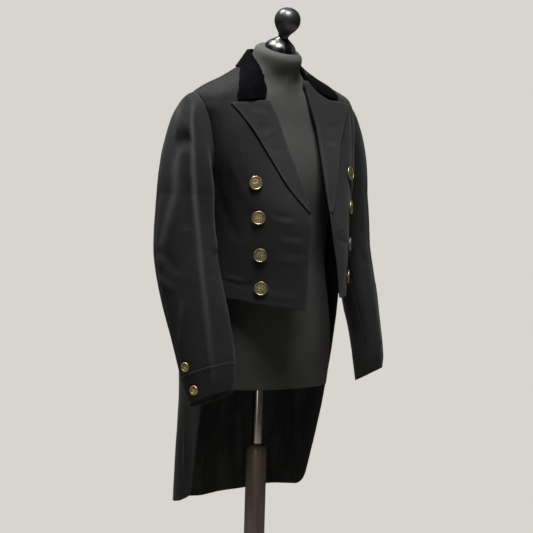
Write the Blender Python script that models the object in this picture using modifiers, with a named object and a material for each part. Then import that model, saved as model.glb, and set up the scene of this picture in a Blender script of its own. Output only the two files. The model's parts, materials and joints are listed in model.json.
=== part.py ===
"""A tailcoat on a limbless dress form and its stand.

Metres, +Z up. The stand's pole is the Z axis, the floor is z = 0 and the wearer's front faces -Y, so the
wearer's left is +X. Each panel of the coat is a grid of points on a surface that is worked out from a
table of sections, and a Solidify modifier turns it into cloth. Hard pieces are turned profiles.
"""
import math

import bmesh
import bpy
import numpy as np
from mathutils import Matrix, Vector

CLOTH = 0.0020          # thickness of the wool
SEAM = 0.0007           # space between two pieces at a seam, on the outside
LAY = 0.0007            # space under a piece that lies on another
SEAT = 0.0002           # space under a button's shank
RIGHT, LEFT = -1, 1     # the wearer's sides, as signs of X
WORDS = {RIGHT: "right", LEFT: "left"}

# Half of a seam's space on each side of it: at a straight seam, at the shoulder, and at the curved back seam
STRAIGHT_SHARE, SHOULDER_SHARE, CURVED_SHARE = 0.6 * SEAM, 1.1 * SEAM, 0.72 * SEAM


class Table:
    """Rows of sizes under named columns, read smoothly between the rows along the first column."""

    def __init__(self, names, rows):
        self.names = names.split()
        self.values = np.array(rows, float)
        self.slopes = np.gradient(self.values, self.values[:, 0], axis=0)

    def at(self, name, place):
        column = self.names.index(name)
        knots, values = self.values[:, 0], self.values[:, column]
        slopes = self.slopes[:, column]
        place = np.asarray(place, float)
        row = np.clip(np.searchsorted(knots, place) - 1, 0, len(knots) - 2)
        step = knots[row + 1] - knots[row]
        t = np.clip((place - knots[row]) / step, 0.0, 1.0)
        start = values[row] * (1 + 2 * t) * (1 - t) ** 2 + step * slopes[row] * t * (1 - t) ** 2
        end = values[row + 1] * t * t * (3 - 2 * t) + step * slopes[row + 1] * t * t * (t - 1)
        return start + end


SECTION = "height width middle front back front_power back_power lean"

# The coat's body, from the waist seam to the side of the neck
BODY = Table(SECTION, [
    (1.000, 0.186, 0.0, 0.194, 0.128, 1.80, 2.3, 0),
    (1.060, 0.182, 0.0, 0.190, 0.119, 1.82, 2.3, 0),
    (1.130, 0.179, 0.0, 0.182, 0.115, 2.05, 2.3, 0),
    (1.210, 0.183, 0.0, 0.170, 0.122, 2.25, 2.3, 0),
    (1.270, 0.191, 0.0, 0.143, 0.130, 2.90, 2.4, 0),
    (1.340, 0.201, 0.0, 0.113, 0.138, 4.20, 2.6, 0),
    (1.400, 0.208, 0.0, 0.094, 0.132, 4.80, 2.4, 0),
    (1.437, 0.209, 0.0, 0.080, 0.116, 4.80, 1.9, 0),
    (1.453, 0.202, 0.0, 0.074, 0.106, 4.40, 1.5, 0),
    (1.470, 0.172, 0.0, 0.068, 0.095, 3.60, 1.3, 0),
    (1.490, 0.119, 0.0, 0.062, 0.074, 3.00, 1.22, 0),
    (1.511, 0.085, 0.0, 0.056, 0.054, 2.50, 1.3, 0)])

# The tails, from the waist seam to their hem
SKIRT = Table(SECTION, [
    (0.590, 0.170, 0.0, 0.150, 0.168, 2.0, 2.2, 0),
    (0.700, 0.1735, 0.0, 0.150, 0.160, 2.0, 2.2, 0),
    (0.815, 0.177, 0.0, 0.155, 0.150, 1.9, 2.2, 0),
    (0.900, 0.182, 0.0, 0.165, 0.144, 1.9, 2.2, 0),
    (0.980, 0.186, 0.0, 0.180, 0.137, 1.8, 2.3, 0),
    (1.040, 0.184, 0.0, 0.191, 0.121, 1.8, 2.3, 0)])

# The dress form, from its flat bottom to the slanted top of its neck
FORM = Table(SECTION, [
    (0.845, 0.164, 0.0, 0.114, 0.118, 2.2, 2.2, 0),
    (0.900, 0.170, 0.0, 0.118, 0.128, 2.2, 2.2, 0),
    (0.960, 0.170, 0.0, 0.118, 0.128, 2.2, 2.2, 0),
    (1.030, 0.162, 0.0, 0.112, 0.112, 2.2, 2.2, 0),
    (1.110, 0.152, 0.0, 0.105, 0.098, 2.2, 2.2, 0),
    (1.190, 0.160, 0.0, 0.108, 0.104, 2.2, 2.2, 0),
    (1.270, 0.174, 0.0, 0.112, 0.116, 2.5, 2.3, 0),
    (1.340, 0.186, 0.0, 0.103, 0.124, 3.0, 2.4, 0),
    (1.400, 0.190, 0.0, 0.086, 0.118, 3.0, 2.2, 0),
    (1.432, 0.192, 0.0, 0.0765, 0.104, 2.6, 1.8, 0),
    (1.450, 0.188, 0.0, 0.0725, 0.092, 2.2, 1.40, 0),
    (1.4670, 0.1700, 0.0, 0.0700, 0.080, 1.35, 1.20, 0),
    (1.4868, 0.1160, 0.0, 0.0705, 0.056, 1.25, 1.12, 0),
    (1.500, 0.073, -0.008, 0.064, 0.042, 1.5, 1.5, 0),
    (1.510, 0.0555, -0.018, 0.056, 0.052, 2.0, 2.0, 0.12),
    (1.522, 0.0520, -0.0245, 0.0515, 0.0505, 2.0, 2.0, 0.22),
    (1.534, 0.0498, -0.0295, 0.0490, 0.0480, 2.0, 2.0, 0.30),
    (1.541, 0.0480, -0.0315, 0.0472, 0.0462, 2.0, 2.0, 0.325),
    (1.5475, 0.0455, -0.0328, 0.0447, 0.0437, 2.0, 2.0, 0.325),
    (1.5510, 0.0385, -0.0340, 0.0380, 0.0370, 2.0, 2.0, 0.325)])

# The inner edge of each front: free below the break, then the roll line, then the neck
FRONT_EDGE = Table("height out", [
    (1.000, 0.052), (1.100, 0.044), (1.210, 0.030), (1.260, 0.039), (1.300, 0.047),
    (1.340, 0.053), (1.395, 0.057), (1.440, 0.061), (1.449, 0.088), (1.465, 0.094), (1.485, 0.092),
    (1.511, 0.086)])
BREAK, GORGE = 1.212, 1.444

# The armhole, once round: turn 0 is the shoulder, 0.25 the front, 0.5 the underarm
ARMHOLE = Table("turn back height", [
    (0.00, 0.000, 1.453), (0.08, -0.028, 1.437), (0.17, -0.046, 1.400), (0.27, -0.053, 1.345),
    (0.37, -0.046, 1.298), (0.45, -0.024, 1.273), (0.52, 0.004, 1.266), (0.60, 0.034, 1.276),
    (0.68, 0.053, 1.305), (0.77, 0.060, 1.350), (0.86, 0.050, 1.402), (0.94, 0.027, 1.438),
    (1.00, 0.000, 1.453)])
ARMHOLE_MIDDLE = 1.36   # height of the middle of the armhole
UNDERARM, SIDE_TURN = 0.52, 0.72
NEAR = 0.0005           # heights closer than this to a seam's top belong to the seam
SHOULDER_HEIGHT, NECK_HEIGHT = 1.453, 1.508
WAIST = 1.036
NECK_DIP = 0.004        # how much lower the neckline is in the middle of the back
SEAM_ROWS = np.array([0.0, 0.13, 0.27, 0.42, 0.57, 0.72, 0.87, 1.0])

# The curved seam between the side body and the back, by its distance from the middle of the back
BACK_SEAM = Table("height out", [
    (1.030, 0.046), (1.100, 0.052), (1.180, 0.074), (1.250, 0.112), (1.300, 0.150), (1.330, 0.1755)])

# How far the hem of each front drops from the waist seam to its corner
HEM_DROP = {RIGHT: 0.027, LEFT: -0.004}
HEM_FADE = 0.09         # height above the hem over which the drop fades out
HEM_TURN = math.radians(60)     # and the angle from the front over which it fades out

# The sleeve, by height over its hem: middle of the ring, its half sizes and its slant
ARM = Table("rise out back long short slant", [
    (0.000, 0.2385, -0.104, 0.0465, 0.0325, 0.46),
    (0.034, 0.2390, -0.099, 0.0535, 0.0330, 0.46),
    (0.062, 0.2400, -0.093, 0.0575, 0.0335, 0.38),
    (0.112, 0.2420, -0.079, 0.0620, 0.0345, 0.24),
    (0.172, 0.2440, -0.059, 0.0665, 0.0385, 0.12),
    (0.232, 0.2460, -0.040, 0.0680, 0.0415, 0.04),
    (0.292, 0.2470, -0.026, 0.0670, 0.0425, 0.00),
    (0.362, 0.2460, -0.020, 0.0630, 0.0415, 0.00),
    (0.412, 0.2430, -0.017, 0.0605, 0.0400, 0.00)])
SLEEVE_TURN = math.radians(30)      # the flat of the sleeve is turned in towards the front
BICEPS, CUFF = 1.250, 0.034
SLEEVE_HEM = {RIGHT: 0.838, LEFT: 0.863}
SLANT = {RIGHT: 1.0, LEFT: 1.3}
FLATTER = {RIGHT: 0.0, LEFT: 0.22}      # the left sleeve hangs flatter towards its hem
INWARD = {RIGHT: 0.0, LEFT: 0.006}      # and closer to the body
FOREARM_SEAM, HINDARM_SEAM = 0.36, 0.84
SLEEVE_GIRTH = 0.34
CAP_PROUD = 0.0012      # how far the sleeve head reaches over the armhole's edge
HEAD_LEAVE, HEAD_ARRIVE = (0.78, 0.0, 0.10), (0.0, 0.0, -1.15)     # its direction at both ends, by its chord

# The lapel's outer edge, from the break up to its peak
LAPEL = Table("height out", [
    (1.212, 0.031), (1.235, 0.049), (1.270, 0.073), (1.315, 0.096), (1.360, 0.119),
    (1.400, 0.145), (1.437, 0.174)])
PEAK = 1.437
GORGE_START = 1.402     # from here up, the lapel's rows turn towards its seam with the collar

# The collar by its place along the half: 0 is the middle of the back and 1 the front end. The roll is
# the top of the fold; the outer edge lies over the coat; foot is the depth of the stand under the roll.
COLLAR = Table("place roll_out roll_back roll_height turn height foot", [
    (0.00, 0.000, 0.037, 1.549, 180, 1.495, 0.036),
    (0.20, 0.029, 0.028, 1.549, 156, 1.498, 0.036),
    (0.38, 0.051, 0.004, 1.546, 128, 1.506, 0.032),
    (0.55, 0.065, -0.020, 1.532, 94, 1.505, 0.018),
    (0.70, 0.068, -0.044, 1.509, 70, 1.499, 0.010),
    (0.85, 0.067, -0.059, 1.484, 49, 1.484, 0.007),
    (1.00, 0.082, -0.080, 1.452, 26, 1.4475, 0.005)])
ROLL = 0.0042           # radius of the collar's fold
SPLAY = 0.30            # the stand's slope away from the neck
FALL_BULGE, BULGE_START, BULGE_RISE = 0.010, 0.45, 0.4     # how far the fall stands off, and from which place

# Buttons: rows down each front, from the photo's heights, by distance from the middle
FRONT_BUTTONS = Table("height right left", [
    (1.060, 0.127, 0.116), (1.128, 0.131, 0.120), (1.205, 0.136, 0.127), (1.276, 0.142, 0.139)])
LEFT_LIFT = 0.018       # the left front hangs this much higher
CUFF_BUTTONS = [("upper", 0.070, 0.894), ("lower", 0.021, 0.922)]
BUTTON, CUFF_BUTTON = 0.0140, 0.0092     # radii

TAIL_EDGE = Table("height back", [
    (0.590, 0.040), (0.617, 0.034), (0.700, 0.016), (0.815, -0.009), (0.900, -0.027), (1.040, -0.055)])
TAIL_HEM_FRONT, TAIL_HEM_BACK = 0.617, 0.594
FOLDS, FOLD_DEPTH = 8, 0.006
VENT = 0.0020           # space between the tails at the middle of the back
CAP_RISE = 0.0263       # from the cap's underside to the knob's, along their axis
POLE_TOP, COLUMN_TOP, COLUMN_FOOT = 0.8447, 0.717, 0.0393

STAND_AXIS_LEAN = math.radians(18)      # the cap and its finial lean forward
CAP = (0.0, -0.0368, 1.5505)

COLLECTION = "tailcoat_on_dress_form"


def section_point(table, angle, height):
    """A point of the section at that height; angle runs from the front, positive to the wearer's left.

    Out is width * sin^(2/q) and forward is depth * cos^(2/p), each with its sign, where p is the
    section's power. In front q is p; behind it is at least 2, so that the back is never pointed.
    """
    angle, height = np.broadcast_arrays(np.asarray(angle, float), np.asarray(height, float))
    across, along = np.sin(angle), np.cos(angle)
    ahead = along >= 0
    power = np.where(ahead, table.at("front_power", height), table.at("back_power", height))
    depth = np.where(ahead, table.at("front", height), table.at("back", height))
    blunt = np.where(ahead, power, np.maximum(power, 2))
    x = table.at("width", height) * np.sign(across) * np.abs(across) ** (2 / blunt)
    y = -depth * np.sign(along) * np.abs(along) ** (2 / power)
    z = height + table.at("lean", height) * y
    return np.stack([x, y + table.at("middle", height), z], axis=-1)


def angle_at_out(table, out, height, behind=False):
    """The angle at which the section is that far out from the middle, in front or behind."""
    power = np.maximum(table.at("back_power", height), 2) if behind else table.at("front_power", height)
    share = np.clip(np.asarray(out, float) / table.at("width", height), 0, 1) ** (power / 2)
    angle = np.arcsin(share)
    return math.pi - angle if behind else angle


def angle_at_back(table, back, height):
    """The angle at which the section is that far behind the pole; a negative value is in front."""
    back = np.asarray(back, float)
    ahead = back < 0
    power = np.where(ahead, table.at("front_power", height), table.at("back_power", height))
    depth = np.where(ahead, table.at("front", height), table.at("back", height))
    share = np.clip(np.abs(back) / depth, 0, 1) ** (power / 2)
    return np.where(ahead, np.arccos(share), math.pi - np.arccos(share))


def surface_normal(table, angle, height):
    """The outward normal, from the difference of near points."""
    step = 1e-4
    across = section_point(table, angle + step, height) - section_point(table, angle - step, height)
    up = section_point(table, angle, height + step) - section_point(table, angle, height - step)
    normal = np.cross(across, up)
    return normal / np.linalg.norm(normal, axis=-1, keepdims=True)


def mirrored(points, side):
    """The wearer's left-hand points, or their mirror image for the right."""
    return points * np.array([side, 1.0, 1.0])


def material(name, colour, roughness, metallic=0.0):
    """A Principled material of that name, made once."""
    found = bpy.data.materials.get(name)
    if found:
        return found
    made = bpy.data.materials.new(name)
    made.use_nodes = True
    shader = made.node_tree.nodes["Principled BSDF"]
    shader.inputs["Base Color"].default_value = (*colour, 1.0)
    shader.inputs["Roughness"].default_value = roughness
    shader.inputs["Metallic"].default_value = metallic
    made.diffuse_color = (*colour, 1.0)
    return made


FINISHES = {
    "wool": ((0.020, 0.021, 0.022), 0.92, 0.0),
    "velvet": ((0.008, 0.009, 0.014), 0.95, 0.0),
    "brass": ((0.330, 0.235, 0.115), 0.42, 1.0),
    "jersey": ((0.045, 0.044, 0.043), 0.90, 0.0),
    "chrome": ((0.780, 0.790, 0.800), 0.10, 1.0),
    "gloss_black": ((0.010, 0.010, 0.011), 0.10, 0.0),
    "steel": ((0.560, 0.540, 0.510), 0.28, 1.0),
    "wood": ((0.085, 0.050, 0.032), 0.40, 0.0),
}


def place_mesh(name, mesh, finish):
    """An object for the mesh, in the collection, with its finish and smooth shading."""
    made = bpy.data.objects.new(name, mesh)
    mesh.materials.append(material(finish, *FINISHES[finish]))
    bpy.data.collections[COLLECTION].objects.link(made)
    mesh.shade_smooth()
    mesh.set_sharp_from_angle(angle=math.radians(40))
    return made


def cloth(name, points, finish="wool", closed=False):
    """A panel: the grid of points (rows, columns) is its outer side, and Solidify gives it thickness.

    Rows run upwards and columns towards the wearer's left as seen from in front, so faces point out.
    A closed grid joins its last column to its first.
    """
    rows, columns = points.shape[:2]
    index = np.arange(rows * columns).reshape(rows, columns)
    if closed:
        index = np.concatenate([index, index[:, :1]], axis=1)
    corners = [index[:-1, :-1], index[:-1, 1:], index[1:, 1:], index[1:, :-1]]
    faces = np.stack(corners, axis=-1).reshape(-1, 4)
    mesh = bpy.data.meshes.new(name)
    mesh.from_pydata(points.reshape(-1, 3).tolist(), [], faces.tolist())
    made = place_mesh(name, mesh, finish)
    wall = made.modifiers.new("Cloth", "SOLIDIFY")
    wall.thickness = CLOTH
    wall.offset = -1.0
    wall.use_even_offset = False
    return made


def facing(points, side):
    """The grid with its columns in the order that makes its faces point out on that side."""
    return points if side == LEFT else points[:, ::-1]


def armhole_back(height, rear):
    """How far back the front or rear half of the armhole lies at that height."""
    turns = np.linspace(UNDERARM, 1.0 if rear else 0.0, 200)
    heights = ARMHOLE.at("height", turns)
    return np.interp(height, heights, ARMHOLE.at("back", turns))


def body_side_angle(height, rear):
    """The angle of the armhole's edge, or of the shoulder seam above it."""
    edge = armhole_back(height, rear)
    shoulder = height >= SHOULDER_HEIGHT
    half = np.where(shoulder, SHOULDER_SHARE, STRAIGHT_SHARE)
    edge = np.where(shoulder, 0.0, edge) + (half if rear else -half)
    return angle_at_back(BODY, edge, height)


def back_seam_inset(height):
    """The curved back seam's share of space, as an angle on the body where that seam runs."""
    angle, depth = 2.6, 0.10
    return CURVED_SHARE / np.hypot(BODY.at("width", height) * np.cos(angle), depth)


def seam_rows(top, share=SEAM_ROWS):
    """The heights of the rows that panels share along a seam, from the waist seam up to its top."""
    bottom = WAIST + SEAM / 2
    return bottom + (top - bottom) * share


def front_panel(side):
    """From the free edge or roll line to the side seam, the armhole and the shoulder seam."""
    underarm = ARMHOLE.at("height", UNDERARM)
    heights = np.concatenate([seam_rows(underarm), [
        1.272, 1.285, 1.305, 1.335, 1.370, 1.405, 1.432, 1.449, 1.457, 1.468, 1.482, 1.496,
        NECK_HEIGHT]])
    start = angle_at_out(BODY, FRONT_EDGE.at("out", heights), heights)
    end = body_side_angle(heights, rear=False)
    side_seam = angle_at_back(BODY, ARMHOLE.at("back", UNDERARM) - STRAIGHT_SHARE, heights)
    end = np.where(heights < underarm + NEAR, side_seam, end)
    even = np.linspace(0.0, 1.0, 10)
    angle = start[:, None] + (end - start)[:, None] * 0.5 * (even + np.sin(even * math.pi / 2))
    height = np.repeat(heights[:, None], 10, axis=1)
    forward = np.clip(1 - np.abs(angle) / HEM_TURN, 0, 1) ** 0.8
    fade = np.clip(1 - (height - WAIST) / HEM_FADE, 0, 1) ** 2
    height = height - HEM_DROP[side] * forward * fade
    return mirrored(section_point(BODY, angle, height), side)


def side_body(side):
    """From the side seam to the curved back seam, under the back of the armhole."""
    across = np.linspace(0.0, 1.0, 5)
    turns = UNDERARM + (SIDE_TURN - UNDERARM) * across
    top = ARMHOLE.at("height", turns)
    up = SEAM_ROWS[:, None]
    height = seam_rows(top[None, :], up)
    start = angle_at_back(BODY, ARMHOLE.at("back", UNDERARM) + STRAIGHT_SHARE, height)
    out = BACK_SEAM.at("out", height)
    end = angle_at_out(BODY, out, height, behind=True) - back_seam_inset(height)
    angle = start + (end - start) * across
    hole = angle_at_back(BODY, ARMHOLE.at("back", turns), height)
    within = (across > 0) & (across < 1)
    angle = angle + (hole - angle) * up ** 6 * within
    return mirrored(section_point(BODY, angle, height), side)


def back_panel(side):
    """From the curved back seam, the armhole and the shoulder seam to the middle of the back."""
    meet = ARMHOLE.at("height", SIDE_TURN)
    heights = np.concatenate([seam_rows(meet), [
        1.350, 1.380, 1.410, 1.434, 1.449, 1.457, 1.468, 1.482, 1.496, NECK_HEIGHT]])
    seam = angle_at_out(BODY, BACK_SEAM.at("out", heights), heights, behind=True)
    seam = seam + back_seam_inset(heights)
    start = np.where(heights < meet + NEAR, seam, body_side_angle(heights, rear=True))
    middle = angle_at_out(BODY, SEAM / 2, heights, behind=True)
    share = np.linspace(0.0, 1.0, 7)
    angle = start[:, None] + (middle - start)[:, None] * share
    height = np.repeat(heights[:, None], len(share), axis=1)
    height[-1] -= NECK_DIP * share
    return mirrored(section_point(BODY, angle, height), side)


def tail(side):
    """From the cutaway edge round to the vent, hanging from the waist seam in soft folds."""
    up = np.array([0.0, 0.09, 0.19, 0.30, 0.42, 0.54, 0.66, 0.77, 0.87, 0.95, 1.0])[:, None]
    across = np.linspace(0.0, 1.0, 14)
    hem = TAIL_HEM_FRONT + (TAIL_HEM_BACK - TAIL_HEM_FRONT) * across ** 0.7
    top = WAIST - SEAM / 2
    height = hem + (top - hem) * up
    start = angle_at_back(SKIRT, TAIL_EDGE.at("back", height), height)
    end = angle_at_out(SKIRT, VENT / 2, height, behind=True)
    angle = start + (end - start) * across
    points = section_point(SKIRT, angle, height)
    depth = FOLD_DEPTH * (1 - up) ** 1.2 * np.sin(FOLDS * (math.pi - angle)) * (1 - across ** 8)
    outward = np.stack([np.sin(angle), -np.cos(angle), 0 * angle], axis=-1)
    return mirrored(points + depth[..., None] * outward, side)


def arm_ring(turn, rise, side):
    """A point of the sleeve: an ellipse whose long way runs forwards and in, slanted at the cuff.

    rise is from 0 at the hem to ARM's last row at the biceps; the sleeve's own length stretches it.
    """
    phase = math.pi / 2 - 2 * math.pi * np.asarray(turn, float)
    rise = np.asarray(rise, float)
    full = ARM.values[-1, 0]
    along = ARM.at("long", rise) * np.cos(phase)
    aside = ARM.at("short", rise) * (1 - FLATTER[side] * (1 - rise / full)) * np.sin(phase)
    outward = -math.sin(SLEEVE_TURN) * along + math.cos(SLEEVE_TURN) * aside
    forward = math.cos(SLEEVE_TURN) * along + math.sin(SLEEVE_TURN) * aside
    x = ARM.at("out", rise) + outward - INWARD[side] * (1 - rise / full)
    y = ARM.at("back", rise) - forward
    z = BICEPS - (full - rise) * (BICEPS - SLEEVE_HEM[side]) / full
    z = z + ARM.at("slant", rise) * SLANT[side] * forward
    return np.stack(np.broadcast_arrays(x, y, z), axis=-1)


def armhole_point(turn):
    """The start of the sleeve head: just outside the armhole's edge."""
    turn = np.mod(turn, 1.0)
    back, height = ARMHOLE.at("back", turn), ARMHOLE.at("height", turn)
    points = section_point(BODY, angle_at_back(BODY, back, height), height)
    away = points - np.array([0.0, 0.0, ARMHOLE_MIDDLE])
    away[..., 0] = 0.0
    away /= np.linalg.norm(away, axis=-1, keepdims=True)
    points = points + CAP_PROUD * away
    points[..., 0] += 2 * LAY
    return points


def sleeve_grid(turns, side):
    """The sleeve's head, a Hermite blend from armhole to biceps, and below it the arm's rings."""
    edge = armhole_point(turns)
    top = ARM.values[-1, 0]
    biceps = arm_ring(turns, top, side)
    chord = np.linalg.norm(biceps - edge, axis=-1, keepdims=True)
    leave, arrive = np.array(HEAD_LEAVE) * chord, np.array(HEAD_ARRIVE) * chord
    t = np.array([0.0, 0.12, 0.28, 0.46, 0.64, 0.82])[:, None, None]
    head = (edge * (1 + 2 * t) * (1 - t) ** 2 + leave * t * (1 - t) ** 2
            + biceps * t * t * (3 - 2 * t) + arrive * t * t * (t - 1))
    rises = top + (CUFF + SEAM - top) * np.linspace(0, 1, 9)
    arm = arm_ring(turns[None, :], rises[:, None], side)
    grid = np.concatenate([head, arm])[::-1]
    return mirrored(grid, side)


def sleeve(side):
    """Top sleeve and under sleeve, between the forearm seam and the hindarm seam, as two grids."""
    inset = SEAM / SLEEVE_GIRTH
    grids = []
    for start, end, count in ((HINDARM_SEAM - 1, FOREARM_SEAM, 12), (FOREARM_SEAM, HINDARM_SEAM, 10)):
        even = np.linspace(0.0, 1.0, count)
        share = 0.4 * even + 0.3 * (1 - np.cos(math.pi * even))
        grids.append(sleeve_grid(start + inset + (end - start - 2 * inset) * share, side))
    return grids


def cuff(side):
    """A ring of cloth from the cuff's seam to the hem."""
    turns = np.linspace(0, 1, 22, endpoint=False)
    rises = np.array([0.0, CUFF / 2, CUFF - SEAM])
    return mirrored(arm_ring(turns[None, :], rises[:, None], side), side)


def lapel(side):
    """The turned-back part of the front, from the roll line to its outer edge and peak."""
    heights = np.array([BREAK + 0.004, 1.235, 1.262, 1.290, 1.318, 1.346, 1.374, 1.402, 1.424, PEAK])
    across = np.linspace(0.0, 1.0, 6)
    rise = np.clip((heights - GORGE_START) / (PEAK - GORGE_START), 0, 1)
    height = heights[:, None] + (GORGE - PEAK) * (1 - across) * rise[:, None]
    start = angle_at_out(BODY, FRONT_EDGE.at("out", height[:, 0]), height[:, 0])
    end = angle_at_out(BODY, LAPEL.at("out", heights), heights)
    angle = start[:, None] + (end - start)[:, None] * across
    lift = CLOTH + LAY
    points = section_point(BODY, angle, height) + lift * surface_normal(BODY, angle, height)
    return mirrored(points, side)


def collar_half():
    """Half of the collar: across it, from the foot of the stand over the roll to the outer edge."""
    place = np.linspace(0.0, 1.0, 12)
    roll = np.stack([COLLAR.at(name, place) for name in ("roll_out", "roll_back", "roll_height")], axis=-1)
    angle, height = np.radians(COLLAR.at("turn", place)), COLLAR.at("height", place)
    lift = CLOTH + LAY + 3 * SEAT
    edge = section_point(BODY, angle, height) + lift * surface_normal(BODY, angle, height)
    fall = edge - roll
    fall /= np.linalg.norm(fall, axis=-1, keepdims=True)
    away = fall * np.array([1.0, 1.0, 0.0])
    away /= np.linalg.norm(away, axis=-1, keepdims=True)
    up = np.array([0.0, 0.0, 1.0])
    foot = COLLAR.at("foot", place)[:, None]
    low = roll + (SPLAY * foot - ROLL) * away - foot * up
    stand = roll + 0.5 * (SPLAY * foot - 2 * ROLL) * away - 0.5 * foot * up
    inner = roll - 0.8 * ROLL * away - 0.45 * ROLL * up
    outer = roll + 0.8 * ROLL * away - 0.45 * ROLL * up
    rows = [low, stand, inner, roll, outer]
    crown = FALL_BULGE * np.clip((place - BULGE_START) / BULGE_RISE, 0, 1)[:, None]
    for share in (0.36, 0.68):
        between = outer + (edge - outer) * share
        bulge = crown * math.sin(math.pi * share)
        rows.append(between + bulge * surface_normal(BODY, angle, height))
    rows.append(edge)
    return np.array(rows)


def collar():
    """Both halves of the collar in one piece, from the foot of the stand to the fall's edge."""
    half = collar_half()
    return np.concatenate([mirrored(half, RIGHT)[:, :0:-1], half], axis=1)


def turned(name, profile, finish, segments, foot=(0, 0, 0), axis=(0, 0, 1)):
    """A piece turned round its own Z from a profile of (radius, height), top to bottom, then placed."""
    mesh = bpy.data.meshes.new(name)
    points = [(radius, 0.0, height) for radius, height in profile]
    edges = [(i, i + 1) for i in range(len(points) - 1)]
    mesh.from_pydata(points, edges, [])
    made = place_mesh(name, mesh, finish)
    screw = made.modifiers.new("Turned", "SCREW")
    screw.steps = segments
    screw.render_steps = segments
    screw.use_merge_vertices = True
    screw.merge_threshold = 0.00005
    screw.use_smooth_shade = True
    turn = Vector((0, 0, 1)).rotation_difference(Vector(axis))
    made.matrix_world = Matrix.Translation(foot) @ turn.to_matrix().to_4x4()
    return made


def button_profile(radius):
    """A domed button on a short shank: (radius, height above the cloth), top to bottom."""
    return [(0.0, 0.0062), (radius * 0.50, 0.0058), (radius * 0.86, 0.0044), (radius, 0.0032),
            (radius * 0.96, 0.0024), (radius * 0.30, 0.0020), (radius * 0.30, 0.0), (0.0, 0.0)]


def front_buttons(side):
    """Four buttons down a front, each square to the cloth."""
    word, heights = WORDS[side], FRONT_BUTTONS.values[::-1, 0]
    for number, height in enumerate(heights, start=1):
        at = height + (LEFT_LIFT if side == LEFT else 0.0)
        angle = angle_at_out(BODY, FRONT_BUTTONS.at(word, height), at)
        normal = surface_normal(BODY, angle, at)
        foot = section_point(BODY, angle, at) + SEAT * normal
        turned(f"button_{word}_{number}", button_profile(BUTTON), "brass", 14,
               mirrored(foot, side).tolist(), mirrored(normal, side).tolist())


def cuff_buttons(side):
    """Two small buttons at the back of each sleeve, one on either side of the cuff's seam."""
    step = 1e-3
    for place, rise, turn in CUFF_BUTTONS:
        round_sleeve = arm_ring(turn + step, rise, side) - arm_ring(turn - step, rise, side)
        up_sleeve = arm_ring(turn, rise + step, side) - arm_ring(turn, rise - step, side)
        normal = np.cross(up_sleeve, round_sleeve)
        normal /= np.linalg.norm(normal)
        foot = arm_ring(turn, rise, side) + SEAT * normal
        turned(f"cuff_button_{WORDS[side]}_{place}", button_profile(CUFF_BUTTON), "brass", 12,
               mirrored(foot, side).tolist(), mirrored(normal, side).tolist())


def dress_form():
    """The torso and neck: rings of the form's sections, closed flat at both ends."""
    heights = np.array([0.845, 0.880, 0.930, 0.985, 1.045, 1.110, 1.180, 1.250, 1.315, 1.370, 1.412,
                        1.437, 1.455, 1.470, 1.484, 1.500, 1.520, 1.541, 1.5475, 1.5510])
    angles = np.linspace(0, 2 * math.pi, 28, endpoint=False)
    points = section_point(FORM, angles[None, :], heights[:, None])
    shape = bmesh.new()
    rings = [[shape.verts.new(point) for point in ring] for ring in points.tolist()]
    for low, high in zip(rings, rings[1:]):
        for i in range(len(low)):
            j = (i + 1) % len(low)
            shape.faces.new((low[i], low[j], high[j], high[i]))
    shape.faces.new(rings[0][::-1])
    shape.faces.new(rings[-1])
    mesh = bpy.data.meshes.new("form_torso")
    bmesh.ops.triangulate(shape, faces=[face for face in shape.faces if len(face.verts) > 4])
    shape.to_mesh(mesh)
    shape.free()
    return place_mesh("form_torso", mesh, "jersey")


def stand():
    """Finial, pole, column and base."""
    axis = (0.0, -math.sin(STAND_AXIS_LEAN), math.cos(STAND_AXIS_LEAN))
    cone = [(0.0, 0.0260), (0.0104, 0.0260), (0.0112, 0.0243), (0.0150, 0.0200), (0.0208, 0.0152),
            (0.0262, 0.0110), (0.0302, 0.0076), (0.0322, 0.0042), (0.0328, 0.0018), (0.0324, 0.0),
            (0.0, 0.0)]
    turned("finial_cone", cone, "chrome", 18, CAP, axis)
    knob = [(0.0, 0.0660), (0.0024, 0.0652), (0.0040, 0.0638), (0.0106, 0.0622), (0.0184, 0.0578),
            (0.0248, 0.0490), (0.0274, 0.0374), (0.0255, 0.0270), (0.0200, 0.0174), (0.0136, 0.0090),
            (0.0108, 0.0030), (0.0104, 0.0), (0.0, 0.0)]
    above = [c + a * CAP_RISE for c, a in zip(CAP, axis)]
    turned("finial_knob", knob, "gloss_black", 18, above, axis)
    pole_foot = COLUMN_TOP + 0.0003
    pole = [(0.0, POLE_TOP), (0.0112, POLE_TOP), (0.0112, pole_foot), (0.0, pole_foot)]
    turned("pole", pole, "steel", 20)
    column = [(0.0, COLUMN_TOP), (0.0130, COLUMN_TOP), (0.0175, COLUMN_TOP - 0.003),
              (0.0205, COLUMN_TOP - 0.009), (0.0218, COLUMN_TOP - 0.020), (0.0218, COLUMN_FOOT),
              (0.0, COLUMN_FOOT)]
    turned("column", column, "wood", 20)
    base = [(0.0, 0.0390), (0.0500, 0.0390), (0.0600, 0.0350), (0.0700, 0.0260), (0.1700, 0.0200),
            (0.1860, 0.0170), (0.1900, 0.0120), (0.1900, 0.0), (0.0, 0.0)]
    turned("base", base, "wood", 28)


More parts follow.
